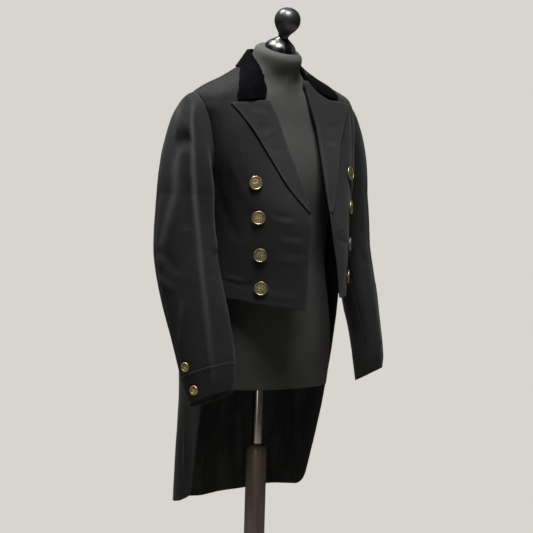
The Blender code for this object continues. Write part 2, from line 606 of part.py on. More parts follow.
def coat():
    """Every cut piece of the coat and its buttons."""
    for side, word in WORDS.items():
        cloth(f"front_{word}", facing(front_panel(side), side))
        cloth(f"side_body_{word}", facing(side_body(side), side))
        cloth(f"back_{word}", facing(back_panel(side), side))
        cloth(f"tail_{word}", facing(tail(side), side))
        over, under = sleeve(side)
        cloth(f"top_sleeve_{word}", facing(over[:, ::-1], side))
        cloth(f"under_sleeve_{word}", facing(under[:, ::-1], side))
        cloth(f"cuff_{word}", facing(cuff(side)[:, ::-1], side), closed=True)
        cloth(f"lapel_{word}", facing(lapel(side), side))
        front_buttons(side)
        cuff_buttons(side)
    cloth("collar", collar(), "velvet")


def main():
    """The part alone in its own collection."""
    for leftover in list(bpy.data.objects):
        bpy.data.objects.remove(leftover, do_unlink=True)
    collection = bpy.data.collections.new(COLLECTION)
    bpy.context.scene.collection.children.link(collection)
    dress_form()
    stand()
    coat()


main()
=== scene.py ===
"""A tailcoat on a limbless dress form: cloth, velvet, buttons and stand, with a plain studio.

The wearer's front faces -Y and the wearer's left is +X. Every new piece is a surface worked out on a grid
of two parameters. Body panels use the turn round the body in degrees (0 is the front) and the height;
sleeves use the turn round the arm (0 to 1) and the rise over the hem.
"""
import json
import math

import bpy
import numpy as np
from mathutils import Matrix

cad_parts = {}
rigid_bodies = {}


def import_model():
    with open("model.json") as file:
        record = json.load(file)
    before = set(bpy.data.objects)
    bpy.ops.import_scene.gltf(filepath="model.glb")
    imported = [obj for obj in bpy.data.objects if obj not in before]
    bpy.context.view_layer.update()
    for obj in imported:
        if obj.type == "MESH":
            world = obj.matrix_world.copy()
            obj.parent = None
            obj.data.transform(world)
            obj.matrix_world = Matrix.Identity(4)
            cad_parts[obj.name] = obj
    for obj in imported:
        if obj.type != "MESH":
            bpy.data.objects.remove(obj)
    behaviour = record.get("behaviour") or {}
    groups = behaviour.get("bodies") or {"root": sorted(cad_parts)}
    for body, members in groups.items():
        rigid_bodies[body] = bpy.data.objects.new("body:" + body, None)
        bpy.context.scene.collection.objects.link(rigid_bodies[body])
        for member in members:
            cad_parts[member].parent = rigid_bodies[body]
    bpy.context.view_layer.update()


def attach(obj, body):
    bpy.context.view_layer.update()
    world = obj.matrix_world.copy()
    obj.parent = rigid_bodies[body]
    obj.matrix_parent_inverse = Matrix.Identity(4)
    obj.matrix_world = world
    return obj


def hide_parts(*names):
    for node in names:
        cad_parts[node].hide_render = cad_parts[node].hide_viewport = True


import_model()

bl_info = {
    "name": "Tailcoat on a dress form",
    "version": (1, 0, 0),
    "blender": (4, 5, 0),
    "location": "View3D > Sidebar > Tailcoat",
    "description": "Makes the cloth, the buttons, the dress form and a plain studio",
    "category": "Add Mesh",
}

RIGHT, LEFT = -1, 1     # the wearer's sides, as signs of X
WORDS = {RIGHT: "right", LEFT: "left"}
SEAM = 0.0007           # space between two pieces at a seam
LAY = 0.0007            # space between the sleeve's head and the body
STRAIGHT_HALF, SHOULDER_HALF = 0.6 * SEAM, 1.1 * SEAM   # half of it at a straight seam and at the shoulder
CURVED_HALF = 0.004     # and at the curved back seam, in radians round the body
JOIN = 0.003            # height over which one seam of a panel goes over into the next
CELL, FINE_CELL = 0.0029, 0.0024    # side of a cell on the cloth's grids
FLAT_RIM = 0.0003       # bulge of a rim at a seam


def hermite(start, end, leave, arrive, t):
    """The cubic from start to end, with the slopes leave and arrive there, at the share t of the way."""
    return (start * (1 + 2 * t) * (1 - t) ** 2 + leave * t * (1 - t) ** 2
            + end * t * t * (3 - 2 * t) + arrive * t * t * (t - 1))


class Table:
    """Rows of sizes under named columns, read smoothly between the rows along the first column."""

    def __init__(self, names, rows):
        self.names = names.split()
        self.values = np.array(rows, float)
        self.slopes = np.gradient(self.values, self.values[:, 0], axis=0)

    def at(self, name, place):
        column = self.names.index(name)
        knots, values, slopes = self.values[:, 0], self.values[:, column], self.slopes[:, column]
        place = np.asarray(place, float)
        row = np.clip(np.searchsorted(knots, place) - 1, 0, len(knots) - 2)
        step = knots[row + 1] - knots[row]
        t = np.clip((place - knots[row]) / step, 0.0, 1.0)
        return hermite(values[row], values[row + 1], step * slopes[row], step * slopes[row + 1], t)


SECTION = "height width middle front back front_power back_power lean"

# The coat's body, from the waist seam to the side of the neck
BODY = Table(SECTION, [
    (1.000, 0.186, 0.0, 0.194, 0.128, 1.80, 2.3, 0),
    (1.060, 0.182, 0.0, 0.190, 0.119, 1.82, 2.3, 0),
    (1.130, 0.179, 0.0, 0.182, 0.115, 2.05, 2.3, 0),
    (1.210, 0.183, 0.0, 0.170, 0.122, 2.25, 2.3, 0),
    (1.270, 0.191, 0.0, 0.143, 0.130, 2.90, 2.4, 0),
    (1.340, 0.201, 0.0, 0.113, 0.138, 4.20, 2.6, 0),
    (1.400, 0.208, 0.0, 0.094, 0.132, 4.80, 2.4, 0),
    (1.437, 0.209, 0.0, 0.080, 0.116, 4.80, 1.9, 0),
    (1.453, 0.202, 0.0, 0.074, 0.106, 4.40, 1.5, 0),
    (1.470, 0.172, 0.0, 0.068, 0.095, 3.60, 1.3, 0),
    (1.490, 0.121, 0.0, 0.062, 0.074, 3.00, 1.22, 0),
    (1.506, 0.091, 0.0, 0.057, 0.060, 2.60, 1.26, 0),
    (1.520, 0.070, 0.0, 0.052, 0.050, 2.30, 1.3, 0)])

# The tails, from the waist seam to their hem
SKIRT = Table(SECTION, [
    (0.590, 0.170, 0.0, 0.150, 0.168, 2.0, 2.2, 0),
    (0.700, 0.1735, 0.0, 0.150, 0.160, 2.0, 2.2, 0),
    (0.815, 0.177, 0.0, 0.155, 0.150, 1.9, 2.2, 0),
    (0.900, 0.182, 0.0, 0.165, 0.144, 1.9, 2.2, 0),
    (0.980, 0.186, 0.0, 0.180, 0.137, 1.8, 2.3, 0),
    (1.040, 0.184, 0.0, 0.191, 0.121, 1.8, 2.3, 0)])

# The dress form, from its flat bottom to the slanted top of its neck
FORM = Table(SECTION, [
    (0.845, 0.164, 0.0, 0.114, 0.118, 2.2, 2.2, 0),
    (0.900, 0.170, 0.0, 0.118, 0.128, 2.2, 2.2, 0),
    (0.960, 0.170, 0.0, 0.118, 0.128, 2.2, 2.2, 0),
    (1.030, 0.162, 0.0, 0.112, 0.112, 2.2, 2.2, 0),
    (1.110, 0.152, 0.0, 0.104, 0.098, 2.2, 2.2, 0),
    (1.190, 0.160, 0.0, 0.106, 0.104, 2.2, 2.2, 0),
    (1.270, 0.174, 0.0, 0.108, 0.116, 2.5, 2.3, 0),
    (1.340, 0.186, 0.0, 0.098, 0.124, 3.0, 2.4, 0),
    (1.400, 0.190, 0.0, 0.082, 0.118, 3.0, 2.2, 0),
    (1.432, 0.192, 0.0, 0.0765, 0.104, 2.6, 1.8, 0),
    (1.450, 0.188, 0.0, 0.0725, 0.092, 2.2, 1.40, 0),
    (1.4670, 0.1700, 0.0, 0.0700, 0.080, 1.35, 1.20, 0),
    (1.4868, 0.1160, 0.0, 0.0705, 0.056, 1.25, 1.12, 0),
    (1.500, 0.073, -0.008, 0.064, 0.042, 1.5, 1.5, 0),
    (1.510, 0.0560, -0.018, 0.056, 0.052, 2.0, 2.0, 0.12),
    (1.522, 0.0535, -0.0245, 0.0530, 0.0515, 2.0, 2.0, 0.22),
    (1.534, 0.0522, -0.0295, 0.0515, 0.0500, 2.0, 2.0, 0.30),
    (1.541, 0.0512, -0.0315, 0.0505, 0.0490, 2.0, 2.0, 0.325),
    (1.5475, 0.0490, -0.0328, 0.0483, 0.0468, 2.0, 2.0, 0.325),
    (1.5510, 0.0430, -0.0340, 0.0425, 0.0412, 2.0, 2.0, 0.325)])
FORM_LENGTH, FORM_SPAN = 0.74, 0.16     # rough: its height, which sets its rings, and metres for a radian

# The inner edge of each front: free below the break, then the roll line, then the neck
FRONT_EDGE = {
    RIGHT: Table("height out", [
        (1.000, 0.052), (1.100, 0.044), (1.210, 0.030), (1.260, 0.034), (1.300, 0.041), (1.340, 0.049),
        (1.395, 0.060), (1.422, 0.067), (1.440, 0.075), (1.452, 0.087), (1.465, 0.090), (1.485, 0.085),
        (1.515, 0.072)]),
    LEFT: Table("height out", [
        (1.000, 0.061), (1.030, 0.055), (1.100, 0.044), (1.210, 0.030), (1.260, 0.039), (1.300, 0.047),
        (1.340, 0.053), (1.395, 0.0545), (1.437, 0.0505), (1.462, 0.049), (1.486, 0.050),
        (1.495, 0.062), (1.506, 0.071), (1.515, 0.073)])}
BREAK = 1.212           # height at which the fronts begin to turn back
# The seam between each lapel and the collar, which on the wearer's left climbs towards the neck
GORGE_LINE = {
    RIGHT: Table("out height", [(0.040, 1.4432), (0.061, 1.4430), (0.100, 1.4412), (0.174, 1.437)]),
    LEFT: Table("out height", [
        (0.040, 1.4865), (0.0500, 1.4835), (0.0626, 1.4768), (0.0879, 1.4560), (0.1047, 1.4462),
        (0.1353, 1.4432), (0.174, 1.437)])}
GORGE_START = {RIGHT: 1.402, LEFT: 1.330}   # height from which the lapel's rows turn towards that seam
SHOULDER = {RIGHT: 0.004, LEFT: -0.003}     # the coat sits a little higher on one shoulder

# The armhole, once round: turn 0 is the shoulder, 0.25 the front, 0.5 the underarm
ARMHOLE = Table("turn back height", [
    (0.00, 0.000, 1.453), (0.08, -0.028, 1.437), (0.17, -0.046, 1.400), (0.27, -0.053, 1.345),
    (0.37, -0.046, 1.298), (0.45, -0.024, 1.273), (0.52, 0.004, 1.266), (0.60, 0.034, 1.276),
    (0.68, 0.053, 1.305), (0.77, 0.060, 1.350), (0.86, 0.050, 1.402), (0.94, 0.027, 1.438),
    (1.00, 0.000, 1.453)])
UNDERARM, SIDE_TURN = 0.52, 0.72            # turns at which the side body begins and ends
ARMHOLE_MIDDLE = 1.36                       # its height
SHOULDER_HEIGHT, NECK_HEIGHT = 1.453, 1.5135    # heights of the shoulder seam's outer and inner end
WAIST = 1.036                               # height of the waist seam

# The curved seam between the side body and the back, by its distance from the middle of the back
BACK_SEAM = Table("height out", [
    (1.030, 0.046), (1.100, 0.052), (1.180, 0.074), (1.250, 0.112), (1.300, 0.150), (1.330, 0.1755)])

HEM_DROP = {RIGHT: 0.027, LEFT: -0.004}     # of each front's corner below the waist seam
HEM_FADE, HEM_TURN = 0.09, math.radians(60)  # height and angle over which that drop fades out
FRONT_BREADTH, SIDE_BREADTH, BACK_BREADTH = 0.25, 0.11, 0.17    # rough sizes that set the cells' number
SIDE_HEIGHT, ARMHOLE_HEIGHT, SHOULDER_LENGTH = 0.26, 0.21, 0.13
NECK_DIP, NECK_DIP_START = 0.004, 1.47      # how much lower the neckline is in the middle of the back

# The sleeve, by height over its hem: middle of the ring, its half sizes and its slant
ARM = Table("rise out back long short slant", [
    (0.000, 0.2385, -0.104, 0.0465, 0.0325, 0.46),
    (0.034, 0.2390, -0.099, 0.0535, 0.0330, 0.46),
    (0.062, 0.2400, -0.093, 0.0575, 0.0335, 0.38),
    (0.112, 0.2420, -0.079, 0.0620, 0.0345, 0.24),
    (0.172, 0.2440, -0.059, 0.0665, 0.0385, 0.12),
    (0.232, 0.2460, -0.040, 0.0680, 0.0415, 0.04),
    (0.292, 0.2470, -0.026, 0.0670, 0.0425, 0.00),
    (0.362, 0.2460, -0.020, 0.0630, 0.0415, 0.00),
    (0.412, 0.2430, -0.017, 0.0605, 0.0400, 0.00)])
BICEPS_RISE, HEAD_LENGTH = 0.412, 0.170     # of the sleeve below and above the biceps, along the cloth
SLEEVE_TURN = math.radians(30)              # the flat of the sleeve is turned in towards the front
BICEPS, CUFF = 1.250, 0.056                 # height of the biceps over the floor, of the cuff over the hem
SLEEVE_HEM = {RIGHT: 0.838, LEFT: 0.863}    # height of each hem over the floor
SLANT = {RIGHT: 1.0, LEFT: 0.95}            # how much of the hem's slant goes forwards
SLANT_ASIDE = {RIGHT: 0.0, LEFT: 0.60}      # and how much goes sideways
FLATTER = {RIGHT: 0.0, LEFT: 0.18}          # how much flatter the sleeve hangs towards its hem
INWARD = {RIGHT: 0.0, LEFT: 0.0085}         # and how much closer to the body
FOREARM_SEAM, HINDARM_SEAM = 0.36, 0.84     # turns at which the sleeve's seams run
SLEEVE_GIRTH = 0.34                         # rough, for the sleeve's cells and pattern
CAP_PROUD, REAR_LAP = 0.0012, 0.0032        # how far the head stands off the armhole and laps its back
CUFF_WEAR_AND_HIGHLIGHT = {RIGHT: 0.12, LEFT: 0.0}        # how much the upper edge of each cuff is lightened: partly rubbed, partly a painted highlight along its seam
CUFF_PROUD = {RIGHT: 0.0010, LEFT: 0.0003}  # and how far it stands off the sleeve
CUFF_LAP = 0.0004                           # and how far it reaches past the cuff's height
PAINTED_SLEEVE_SHADE = {RIGHT: 0.0, LEFT: 0.55}            # painted shade: how much darker each sleeve is painted, most at its head
HEAD_RISE = {RIGHT: 0.17, LEFT: 0.08}       # how steeply the sleeve head leaves the shoulder
HEAD_OUT, HEAD_FALL = 0.78, 1.15            # how far it goes out first, and how straight down it ends

# The lapel's outer edge, from the break up to its peak
LAPEL = Table("height out", [
    (1.212, 0.031), (1.235, 0.049), (1.270, 0.073), (1.315, 0.096), (1.360, 0.119),
    (1.400, 0.145), (1.437, 0.174)])
PEAK = 1.437            # height of its peak

# The collar by its place along the half: 0 is the middle of the back and 1 the front end
COLLAR_NAMES = "place roll_out roll_back roll_height turn height foot"
COLLAR_BACK = [
    (0.00, 0.000, 0.037, 1.549, 180, 1.5075, 0.036),
    (0.20, 0.029, 0.028, 1.549, 150, 1.5100, 0.036),
    (0.38, 0.051, 0.004, 1.546, 119, 1.5125, 0.032)]
COLLAR = {
    RIGHT: Table(COLLAR_NAMES, [
        *COLLAR_BACK,
        (0.55, 0.063, -0.0215, 1.533, 88, 1.5103, 0.018),
        (0.70, 0.0655, -0.0455, 1.510, 69, 1.4930, 0.010),
        (0.85, 0.067, -0.059, 1.484, 46, 1.4738, 0.007),
        (0.93, 0.0710, -0.0700, 1.4665, 35.6, 1.4610, 0.006),
        (1.00, 0.0850, -0.079, 1.4485, 30, 1.4415, 0.005)]),
    LEFT: Table(COLLAR_NAMES, [
        *COLLAR_BACK[:2],
        (0.38, 0.051, 0.004, 1.546, 119, 1.5118, 0.0355),
        (0.55, 0.064, -0.021, 1.531, 86, 1.5070, 0.022),
        (0.70, 0.066, -0.044, 1.5065, 67, 1.4898, 0.010),
        (0.85, 0.058, -0.0585, 1.4955, 45, 1.4740, 0.007),
        (1.00, 0.0490, -0.0670, 1.4885, 24, 1.4490, 0.005)])}
COLLAR_SAG = {RIGHT: 0.0, LEFT: 0.011}      # how far the middle of the front end hangs
COLLAR_BULGE = {RIGHT: 0.008, LEFT: 0.003}  # how far the fall bulges near the front end
COLLAR_LENGTH, COLLAR_BREADTH, COLLAR_ROWS = 0.27, 0.09, 42     # of each half, roughly, and rows across it
COLLAR_ROLL, SPLAY = 0.0034, 0.30           # radius of its fold, and how far its stand leans out
COLLAR_OFF = 0.0034                         # how far its edge stands off the coat
FOLD_PLACE = 3 / 7                          # share of the rows from the foot to the fold

# Buttons: rows down each front, by distance from the middle
FRONT_BUTTONS = Table("height right left", [
    (1.060, 0.127, 0.112), (1.128, 0.131, 0.116), (1.205, 0.136, 0.123), (1.276, 0.142, 0.135)])
LEFT_LIFT = 0.018                           # how much higher the left row lies
# Their place beside the cuff's seam, with the rise over the hem and the turn round the sleeve
CUFF_BUTTONS = [("upper", 0.070, 0.894), ("lower", 0.021, 0.922)]
BUTTON, CUFF_BUTTON = 0.0140, 0.0092        # radii
DOME = 0.82                                 # share of the radius inside the rim

# The front edge of each tail, by how far behind the pole it hangs, and then its hem from there to the vent
TAIL_EDGE = Table("height back", [
    (0.590, 0.040), (0.617, 0.034), (0.700, 0.016), (0.815, -0.009), (0.900, -0.027), (1.040, -0.055)])
TAIL_AHEAD = {RIGHT: -0.003, LEFT: 0.013}   # how much further forward the edge hangs
TAIL_SWING = {RIGHT: -0.0065, LEFT: 0.0}    # how far the side of each tail hangs out
TAIL_LENGTH, TAIL_BREADTH = 0.43, 0.40      # rough sizes that set the cells' number
TAIL_CORNER, CORNER_BREADTH = 0.022, 0.30   # radius of the hem's front corner on a tail as broad as that
TAIL_HEM = {
    RIGHT: Table("across height", [
        (0.0, 0.612), (0.07, 0.608), (0.14, 0.601), (0.23, 0.5965), (0.40, 0.594), (0.60, 0.591),
        (1.0, 0.586)]),
    LEFT: Table("across height", [
        (0.0, 0.616), (0.10, 0.614), (0.22, 0.6115), (0.34, 0.6090), (0.45, 0.6045), (0.56, 0.6005),
        (0.73, 0.594), (0.85, 0.5895), (1.0, 0.586)])}
FOLDS, FOLD_DEPTH = 8, 0.006                # waves in a whole turn round the tails, and their depth
VENT = 0.0020                               # space between the tails

# The stand: the foot and the lean of the finial's axis, then radii and heights of the pole and the column
CAP, FINIAL_LEAN = (0.0, -0.0368, 1.5505), math.radians(18)
POLE, POLE_TOP = 0.0112, 0.8447
COLUMN, COLUMN_FOOT, COLUMN_TOP = 0.0218, 0.0393, 0.717
STAND_SPACE = 0.0003                        # between two parts of it

# Creases: straight soft lines, bowed to one side. Depth is out of the cloth if above zero. Worn is how
# much the cloth is lightened along the line, partly as rubbed nap and partly as a painted highlight on
# ridges; below zero it darkens the cloth as painted shade. Body and tails go by degrees and height, in
# metres.
# A row is (from across, from up, to across, to up, width, depth, bow, worn).
DEGREE = 0.0031         # metres round the body for a degree
FRONT_CREASES = {
    RIGHT: [
        (70, 1.081, 54, 1.072, 0.0045, 0.0013, 0.000, 0.35),
        (70, 1.074, 50, 1.063, 0.0070, -0.0012, 0.000, 0.0),
        (36, 1.214, 18, 1.205, 0.0060, -0.0012, 0.002, 0.0),
        (38, 1.203, 20, 1.196, 0.0060, 0.0010, 0.002, 0.10),
        (32, 1.172, 14, 1.166, 0.0055, -0.0010, 0.001, 0.0),
        (34, 1.160, 15, 1.153, 0.0065, 0.0010, 0.001, 0.10),
        (30, 1.135, 15, 1.130, 0.0060, -0.0009, 0.000, 0.0),
        (40, 1.120, 18, 1.112, 0.0080, 0.0009, -0.002, 0.06),
        (72, 1.245, 60, 1.150, 0.0120, -0.0022, 0.006, 0.0),
        (60, 1.330, 48, 1.220, 0.0140, 0.0018, 0.004, 0.0),
        (77, 1.300, 70, 1.200, 0.0090, -0.0025, 0.003, 0.0),
        (46, 1.420, 62, 1.350, 0.0120, -0.0012, 0.004, 0.0),
        (52, 1.058, 20, 1.040, 0.0090, 0.0010, 0.003, 0.05)],
    LEFT: [
        (24, 1.230, 12, 1.200, 0.0070, -0.0013, 0.002, 0.0),
        (28, 1.190, 12, 1.178, 0.0060, 0.0010, 0.001, 0.08),
        (34, 1.150, 14, 1.160, 0.0070, -0.0010, 0.002, 0.0),
        (66, 1.240, 56, 1.140, 0.0120, -0.0022, -0.005, 0.0),
        (76, 1.300, 68, 1.190, 0.0100, -0.0024, 0.003, 0.0),
        # Painted shade: this trough's wear of -1.0 darkens the front beside the armhole, where shade falls
        # between front and sleeve.
        (43, 1.440, 41, 1.225, 0.0170, -0.0025, 0.000, -1.0),
        (58, 1.320, 46, 1.210, 0.0130, 0.0018, 0.004, 0.0),
        (64, 1.090, 40, 1.076, 0.0060, 0.0011, 0.000, 0.15),
        (48, 1.054, 22, 1.060, 0.0090, 0.0010, 0.002, 0.05)]}
BACK_CREASES = {
    RIGHT: [
        (118, 1.330, 150, 1.190, 0.0120, -0.0024, 0.010, 0.0),
        (112, 1.290, 140, 1.160, 0.0100, 0.0018, 0.008, 0.05),
        (176, 1.090, 150, 1.100, 0.0070, -0.0014, 0.003, 0.0),
        (177, 1.068, 146, 1.074, 0.0060, 0.0012, 0.002, 0.10),
        (128, 1.420, 158, 1.470, 0.0120, -0.0014, 0.004, 0.0),
        (100, 1.120, 126, 1.080, 0.0080, -0.0015, 0.003, 0.0)],
    LEFT: [
        (116, 1.345, 146, 1.205, 0.0130, -0.0022, 0.012, 0.0),
        (114, 1.270, 138, 1.150, 0.0090, 0.0017, 0.006, 0.05),
        (174, 1.102, 148, 1.092, 0.0070, -0.0015, 0.002, 0.0),
        (176, 1.074, 142, 1.062, 0.0065, 0.0012, 0.003, 0.10),
        (132, 1.425, 162, 1.462, 0.0130, -0.0013, 0.003, 0.0),
        (104, 1.110, 130, 1.088, 0.0080, -0.0013, 0.002, 0.0)]}
TAIL_CREASES = {
    RIGHT: [
        (104, 1.020, 112, 0.860, 0.0100, -0.0026, 0.004, 0.0),
        (128, 1.010, 134, 0.800, 0.0080, 0.0022, 0.003, 0.15),
        (152, 1.000, 150, 0.760, 0.0090, -0.0024, 0.004, 0.0),
        (110, 0.760, 108, 0.640, 0.0060, 0.0016, 0.002, 0.10),
        (172, 0.980, 168, 0.720, 0.0070, 0.0016, 0.003, 0.10)],
    LEFT: [
        (106, 1.010, 114, 0.870, 0.0100, -0.0024, 0.003, 0.0),
        (130, 1.015, 126, 0.820, 0.0085, 0.0022, 0.004, 0.15),
        (150, 0.990, 154, 0.740, 0.0090, -0.0024, 0.003, 0.0),
        (116, 0.780, 112, 0.650, 0.0060, 0.0015, 0.002, 0.10),
        (170, 0.990, 172, 0.700, 0.0075, 0.0016, 0.004, 0.10)]}
LAPEL_CREASES = {
    RIGHT: [
        (0.45, 1.392, 0.95, 1.380, 0.0065, -0.0013, 0.002, 0.0),
        (0.40, 1.378, 0.90, 1.366, 0.0065, 0.0012, 0.002, 0.08),
        (0.35, 1.345, 0.85, 1.338, 0.0070, -0.0010, 0.001, 0.0),
        (0.35, 1.415, 0.80, 1.420, 0.0080, 0.0010, 0.001, 0.12)],
    LEFT: [
        (0.40, 1.386, 0.90, 1.392, 0.0070, -0.0012, 0.002, 0.0),
        (0.38, 1.352, 0.88, 1.345, 0.0070, 0.0011, 0.002, 0.15),
        (0.40, 1.310, 0.80, 1.300, 0.0070, -0.0009, 0.001, 0.0)]}
# Sleeves go by turn and rise
SLEEVE_CREASES = {
    RIGHT: [
        (-0.030, 0.471, 0.070, 0.487, 0.0095, -0.0085, 0.000, 0.0),
        (0.012, 0.545, 0.026, 0.505, 0.0090, -0.0028, 0.000, 0.0),
        (0.022, 0.462, 0.036, 0.340, 0.0110, -0.0026, 0.001, 0.0),
        (-0.060, 0.530, -0.055, 0.440, 0.0090, -0.0020, 0.001, 0.0),
        (0.150, 0.400, 0.190, 0.270, 0.0120, -0.0022, 0.004, 0.0),
        (0.250, 0.300, 0.150, 0.240, 0.0110, -0.0030, 0.004, 0.0),
        (0.330, 0.330, 0.200, 0.300, 0.0100, 0.0024, 0.004, 0.0),
        (-0.130, 0.300, -0.020, 0.250, 0.0120, -0.0024, 0.004, 0.0),
        (-0.170, 0.240, -0.060, 0.215, 0.0100, 0.0020, 0.003, 0.05),
        (0.470, 0.260, 0.330, 0.225, 0.0100, -0.0032, 0.004, 0.0),
        (0.620, 0.270, 0.540, 0.150, 0.0120, -0.0026, 0.005, 0.0),
        (0.700, 0.400, 0.660, 0.270, 0.0120, 0.0024, 0.005, 0.0),
        (-0.028, 0.200, -0.075, 0.149, 0.0055, 0.0013, 0.001, 0.22),
        (-0.070, 0.155, -0.130, 0.110, 0.0055, 0.0013, 0.001, 0.22)],
    LEFT: [
        (0.100, 0.560, 0.130, 0.200, 0.0450, -0.0045, 0.000, 0.0),
        (0.000, 0.480, 0.060, 0.486, 0.0080, -0.0048, 0.000, 0.0),
        (0.005, 0.465, 0.045, 0.470, 0.0065, 0.0026, 0.002, 0.5),
        (0.020, 0.540, 0.036, 0.500, 0.0090, -0.0026, 0.000, 0.0),
        (0.180, 0.410, 0.230, 0.300, 0.0120, -0.0020, 0.004, 0.0),
        (0.280, 0.290, 0.180, 0.250, 0.0110, -0.0024, 0.004, 0.0),
        (0.360, 0.310, 0.240, 0.270, 0.0100, 0.0020, 0.003, 0.0),
        (0.250, 0.110, 0.380, 0.075, 0.0090, 0.0016, 0.002, 0.05),
        (-0.110, 0.290, -0.010, 0.240, 0.0120, -0.0024, 0.004, 0.0),
        (0.480, 0.250, 0.350, 0.215, 0.0100, -0.0028, 0.004, 0.0),
        (0.640, 0.280, 0.560, 0.150, 0.0120, -0.0026, 0.005, 0.0),
        (0.690, 0.380, 0.650, 0.260, 0.0120, 0.0022, 0.005, 0.0)]}

# Long pressed folds down each sleeve, by rise: the turn at which the fold's crest lies, and the wear that
# lightens the crest, partly rubbed nap and partly a painted highlight
PRESSED = "rise turn wear"
PRESSED_FOLDS = {
    RIGHT: [
        (Table(PRESSED, [
            (0.0, 0.045, 0.1), (0.109, 0.056, 0.35), (0.143, 0.067, 0.45), (0.201, 0.086, 0.5),
            (0.259, 0.099, 0.6), (0.296, 0.103, 0.7), (0.354, 0.097, 0.85), (0.403, 0.083, 1.0),
            (0.441, 0.076, 1.0), (0.484, 0.081, 1.0), (0.536, 0.071, 0.4), (0.560, 0.066, 0.2)]),
         0.0070, 0.0030, 0.62),
        (Table(PRESSED, [
            (0.256, -0.115, 0.3), (0.328, -0.078, 0.6), (0.369, -0.051, 0.8), (0.412, -0.028, 0.9),
            (0.438, -0.024, 1.0), (0.456, -0.012, 0.9), (0.474, 0.010, 0.4)]), 0.0090, 0.0034, 0.55),
        (Table(PRESSED, [
            (0.490, -0.018, 0.6), (0.507, -0.018, 0.9), (0.545, -0.025, 0.3)]), 0.0075, 0.0026, 0.35)],
    LEFT: [
        (Table(PRESSED, [
            (0.0, 0.060, 0.10), (0.090, 0.045, 0.15), (0.170, 0.066, 0.20), (0.270, 0.085, 0.30),
            (0.350, 0.082, 0.50), (0.450, 0.070, 0.9), (0.560, 0.040, 0.5)]), 0.0075, 0.0026, 0.5),
        (Table(PRESSED, [
            (0.240, -0.110, 0.10), (0.290, -0.100, 0.20), (0.340, -0.070, 0.50), (0.400, -0.035, 0.9),
            (0.460, -0.008, 1.0)]), 0.0100, 0.0030, 0.4)]}


def section_point(table, angle, height):
    """A point of the section at that height; angle runs from the front, positive to the wearer's left.

    Out is width * sin^(2/q) and forward is depth * cos^(2/p), each with its sign, where p is the
    section's power. In front q is p; behind it is at least 2, so that the back is never pointed.
    """
    angle, height = np.broadcast_arrays(np.asarray(angle, float), np.asarray(height, float))
    across, along = np.sin(angle), np.cos(angle)
    ahead = along >= 0
    power = np.where(ahead, table.at("front_power", height), table.at("back_power", height))
    depth = np.where(ahead, table.at("front", height), table.at("back", height))
    blunt = np.where(ahead, power, np.maximum(power, 2))
    x = table.at("width", height) * np.sign(across) * np.abs(across) ** (2 / blunt)
    y = -depth * np.sign(along) * np.abs(along) ** (2 / power)
    z = height + table.at("lean", height) * y
    return np.stack([x, y + table.at("middle", height), z], axis=-1)


def angle_at_out(table, out, height, behind=False):
    """The angle at which the section is that far out from the middle, in front or behind."""
    power = np.maximum(table.at("back_power", height), 2) if behind else table.at("front_power", height)
    share = np.clip(np.asarray(out, float) / table.at("width", height), 0, 1) ** (power / 2)
    angle = np.arcsin(share)
    return math.pi - angle if behind else angle


def angle_at_back(table, back, height):
    """The angle at which the section is that far behind the pole; a negative value is in front."""
    back = np.asarray(back, float)
    ahead = back < 0
    power = np.where(ahead, table.at("front_power", height), table.at("back_power", height))
    depth = np.where(ahead, table.at("front", height), table.at("back", height))
    share = np.clip(np.abs(back) / depth, 0, 1) ** (power / 2)
    return np.where(ahead, np.arccos(share), math.pi - np.arccos(share))


def surface_normal(table, angle, height):
    """The outward normal, from the difference of near points."""
    step = 1e-4
    across = section_point(table, angle + step, height) - section_point(table, angle - step, height)
    up = section_point(table, angle, height + step) - section_point(table, angle, height - step)
    return unit(np.cross(across, up))


def unit(vectors):
    """The vectors at length 1."""
    return vectors / np.maximum(np.linalg.norm(vectors, axis=-1, keepdims=True), 1e-12)


def mirrored(points, side):
    """The wearer's left-hand points, or their mirror image for the right."""
    return points * np.array([side, 1.0, 1.0])


def for_side(side, points, *grids):
    """Left-hand grids as they are, or for the right their mirror image with the columns turned round."""
    if side == LEFT:
        return points, *grids
    return tuple(grid[:, ::-1] for grid in (mirrored(points, side), *grids))


def shoulder_lift(points, side):
    """How much higher the cloth lies on that shoulder: nothing at the neck, the chest and the middle."""
    height, out = points[..., 2], np.abs(points[..., 0])
    lift = soft_step((height - 1.43) / 0.035) * soft_step((1.517 - height) / 0.02)
    return SHOULDER[side] * lift * np.clip(out / 0.1, 0, 1) ** 2


def soft_step(value):
    """A smooth rise from 0 to 1 as the value goes from 0 to 1."""
    t = np.clip(value, 0, 1)
    return t * t * (3 - 2 * t)


def even(length, cell=CELL):
    """Shares from 0 to 1 in steps of about one cell along that length."""
    return np.linspace(0.0, 1.0, max(3, round(length / cell) + 1))


def through(control, count):
    """A smooth curve through the control points along the first axis, by cubic pieces with even knots."""
    slopes = np.gradient(control, axis=0)
    place = np.linspace(0, len(control) - 1, count)
    row = np.minimum(place.astype(int), len(control) - 2)
    t = (place - row).reshape(-1, *[1] * (control.ndim - 1))
    return hermite(control[row], control[row + 1], slopes[row], slopes[row + 1], t)


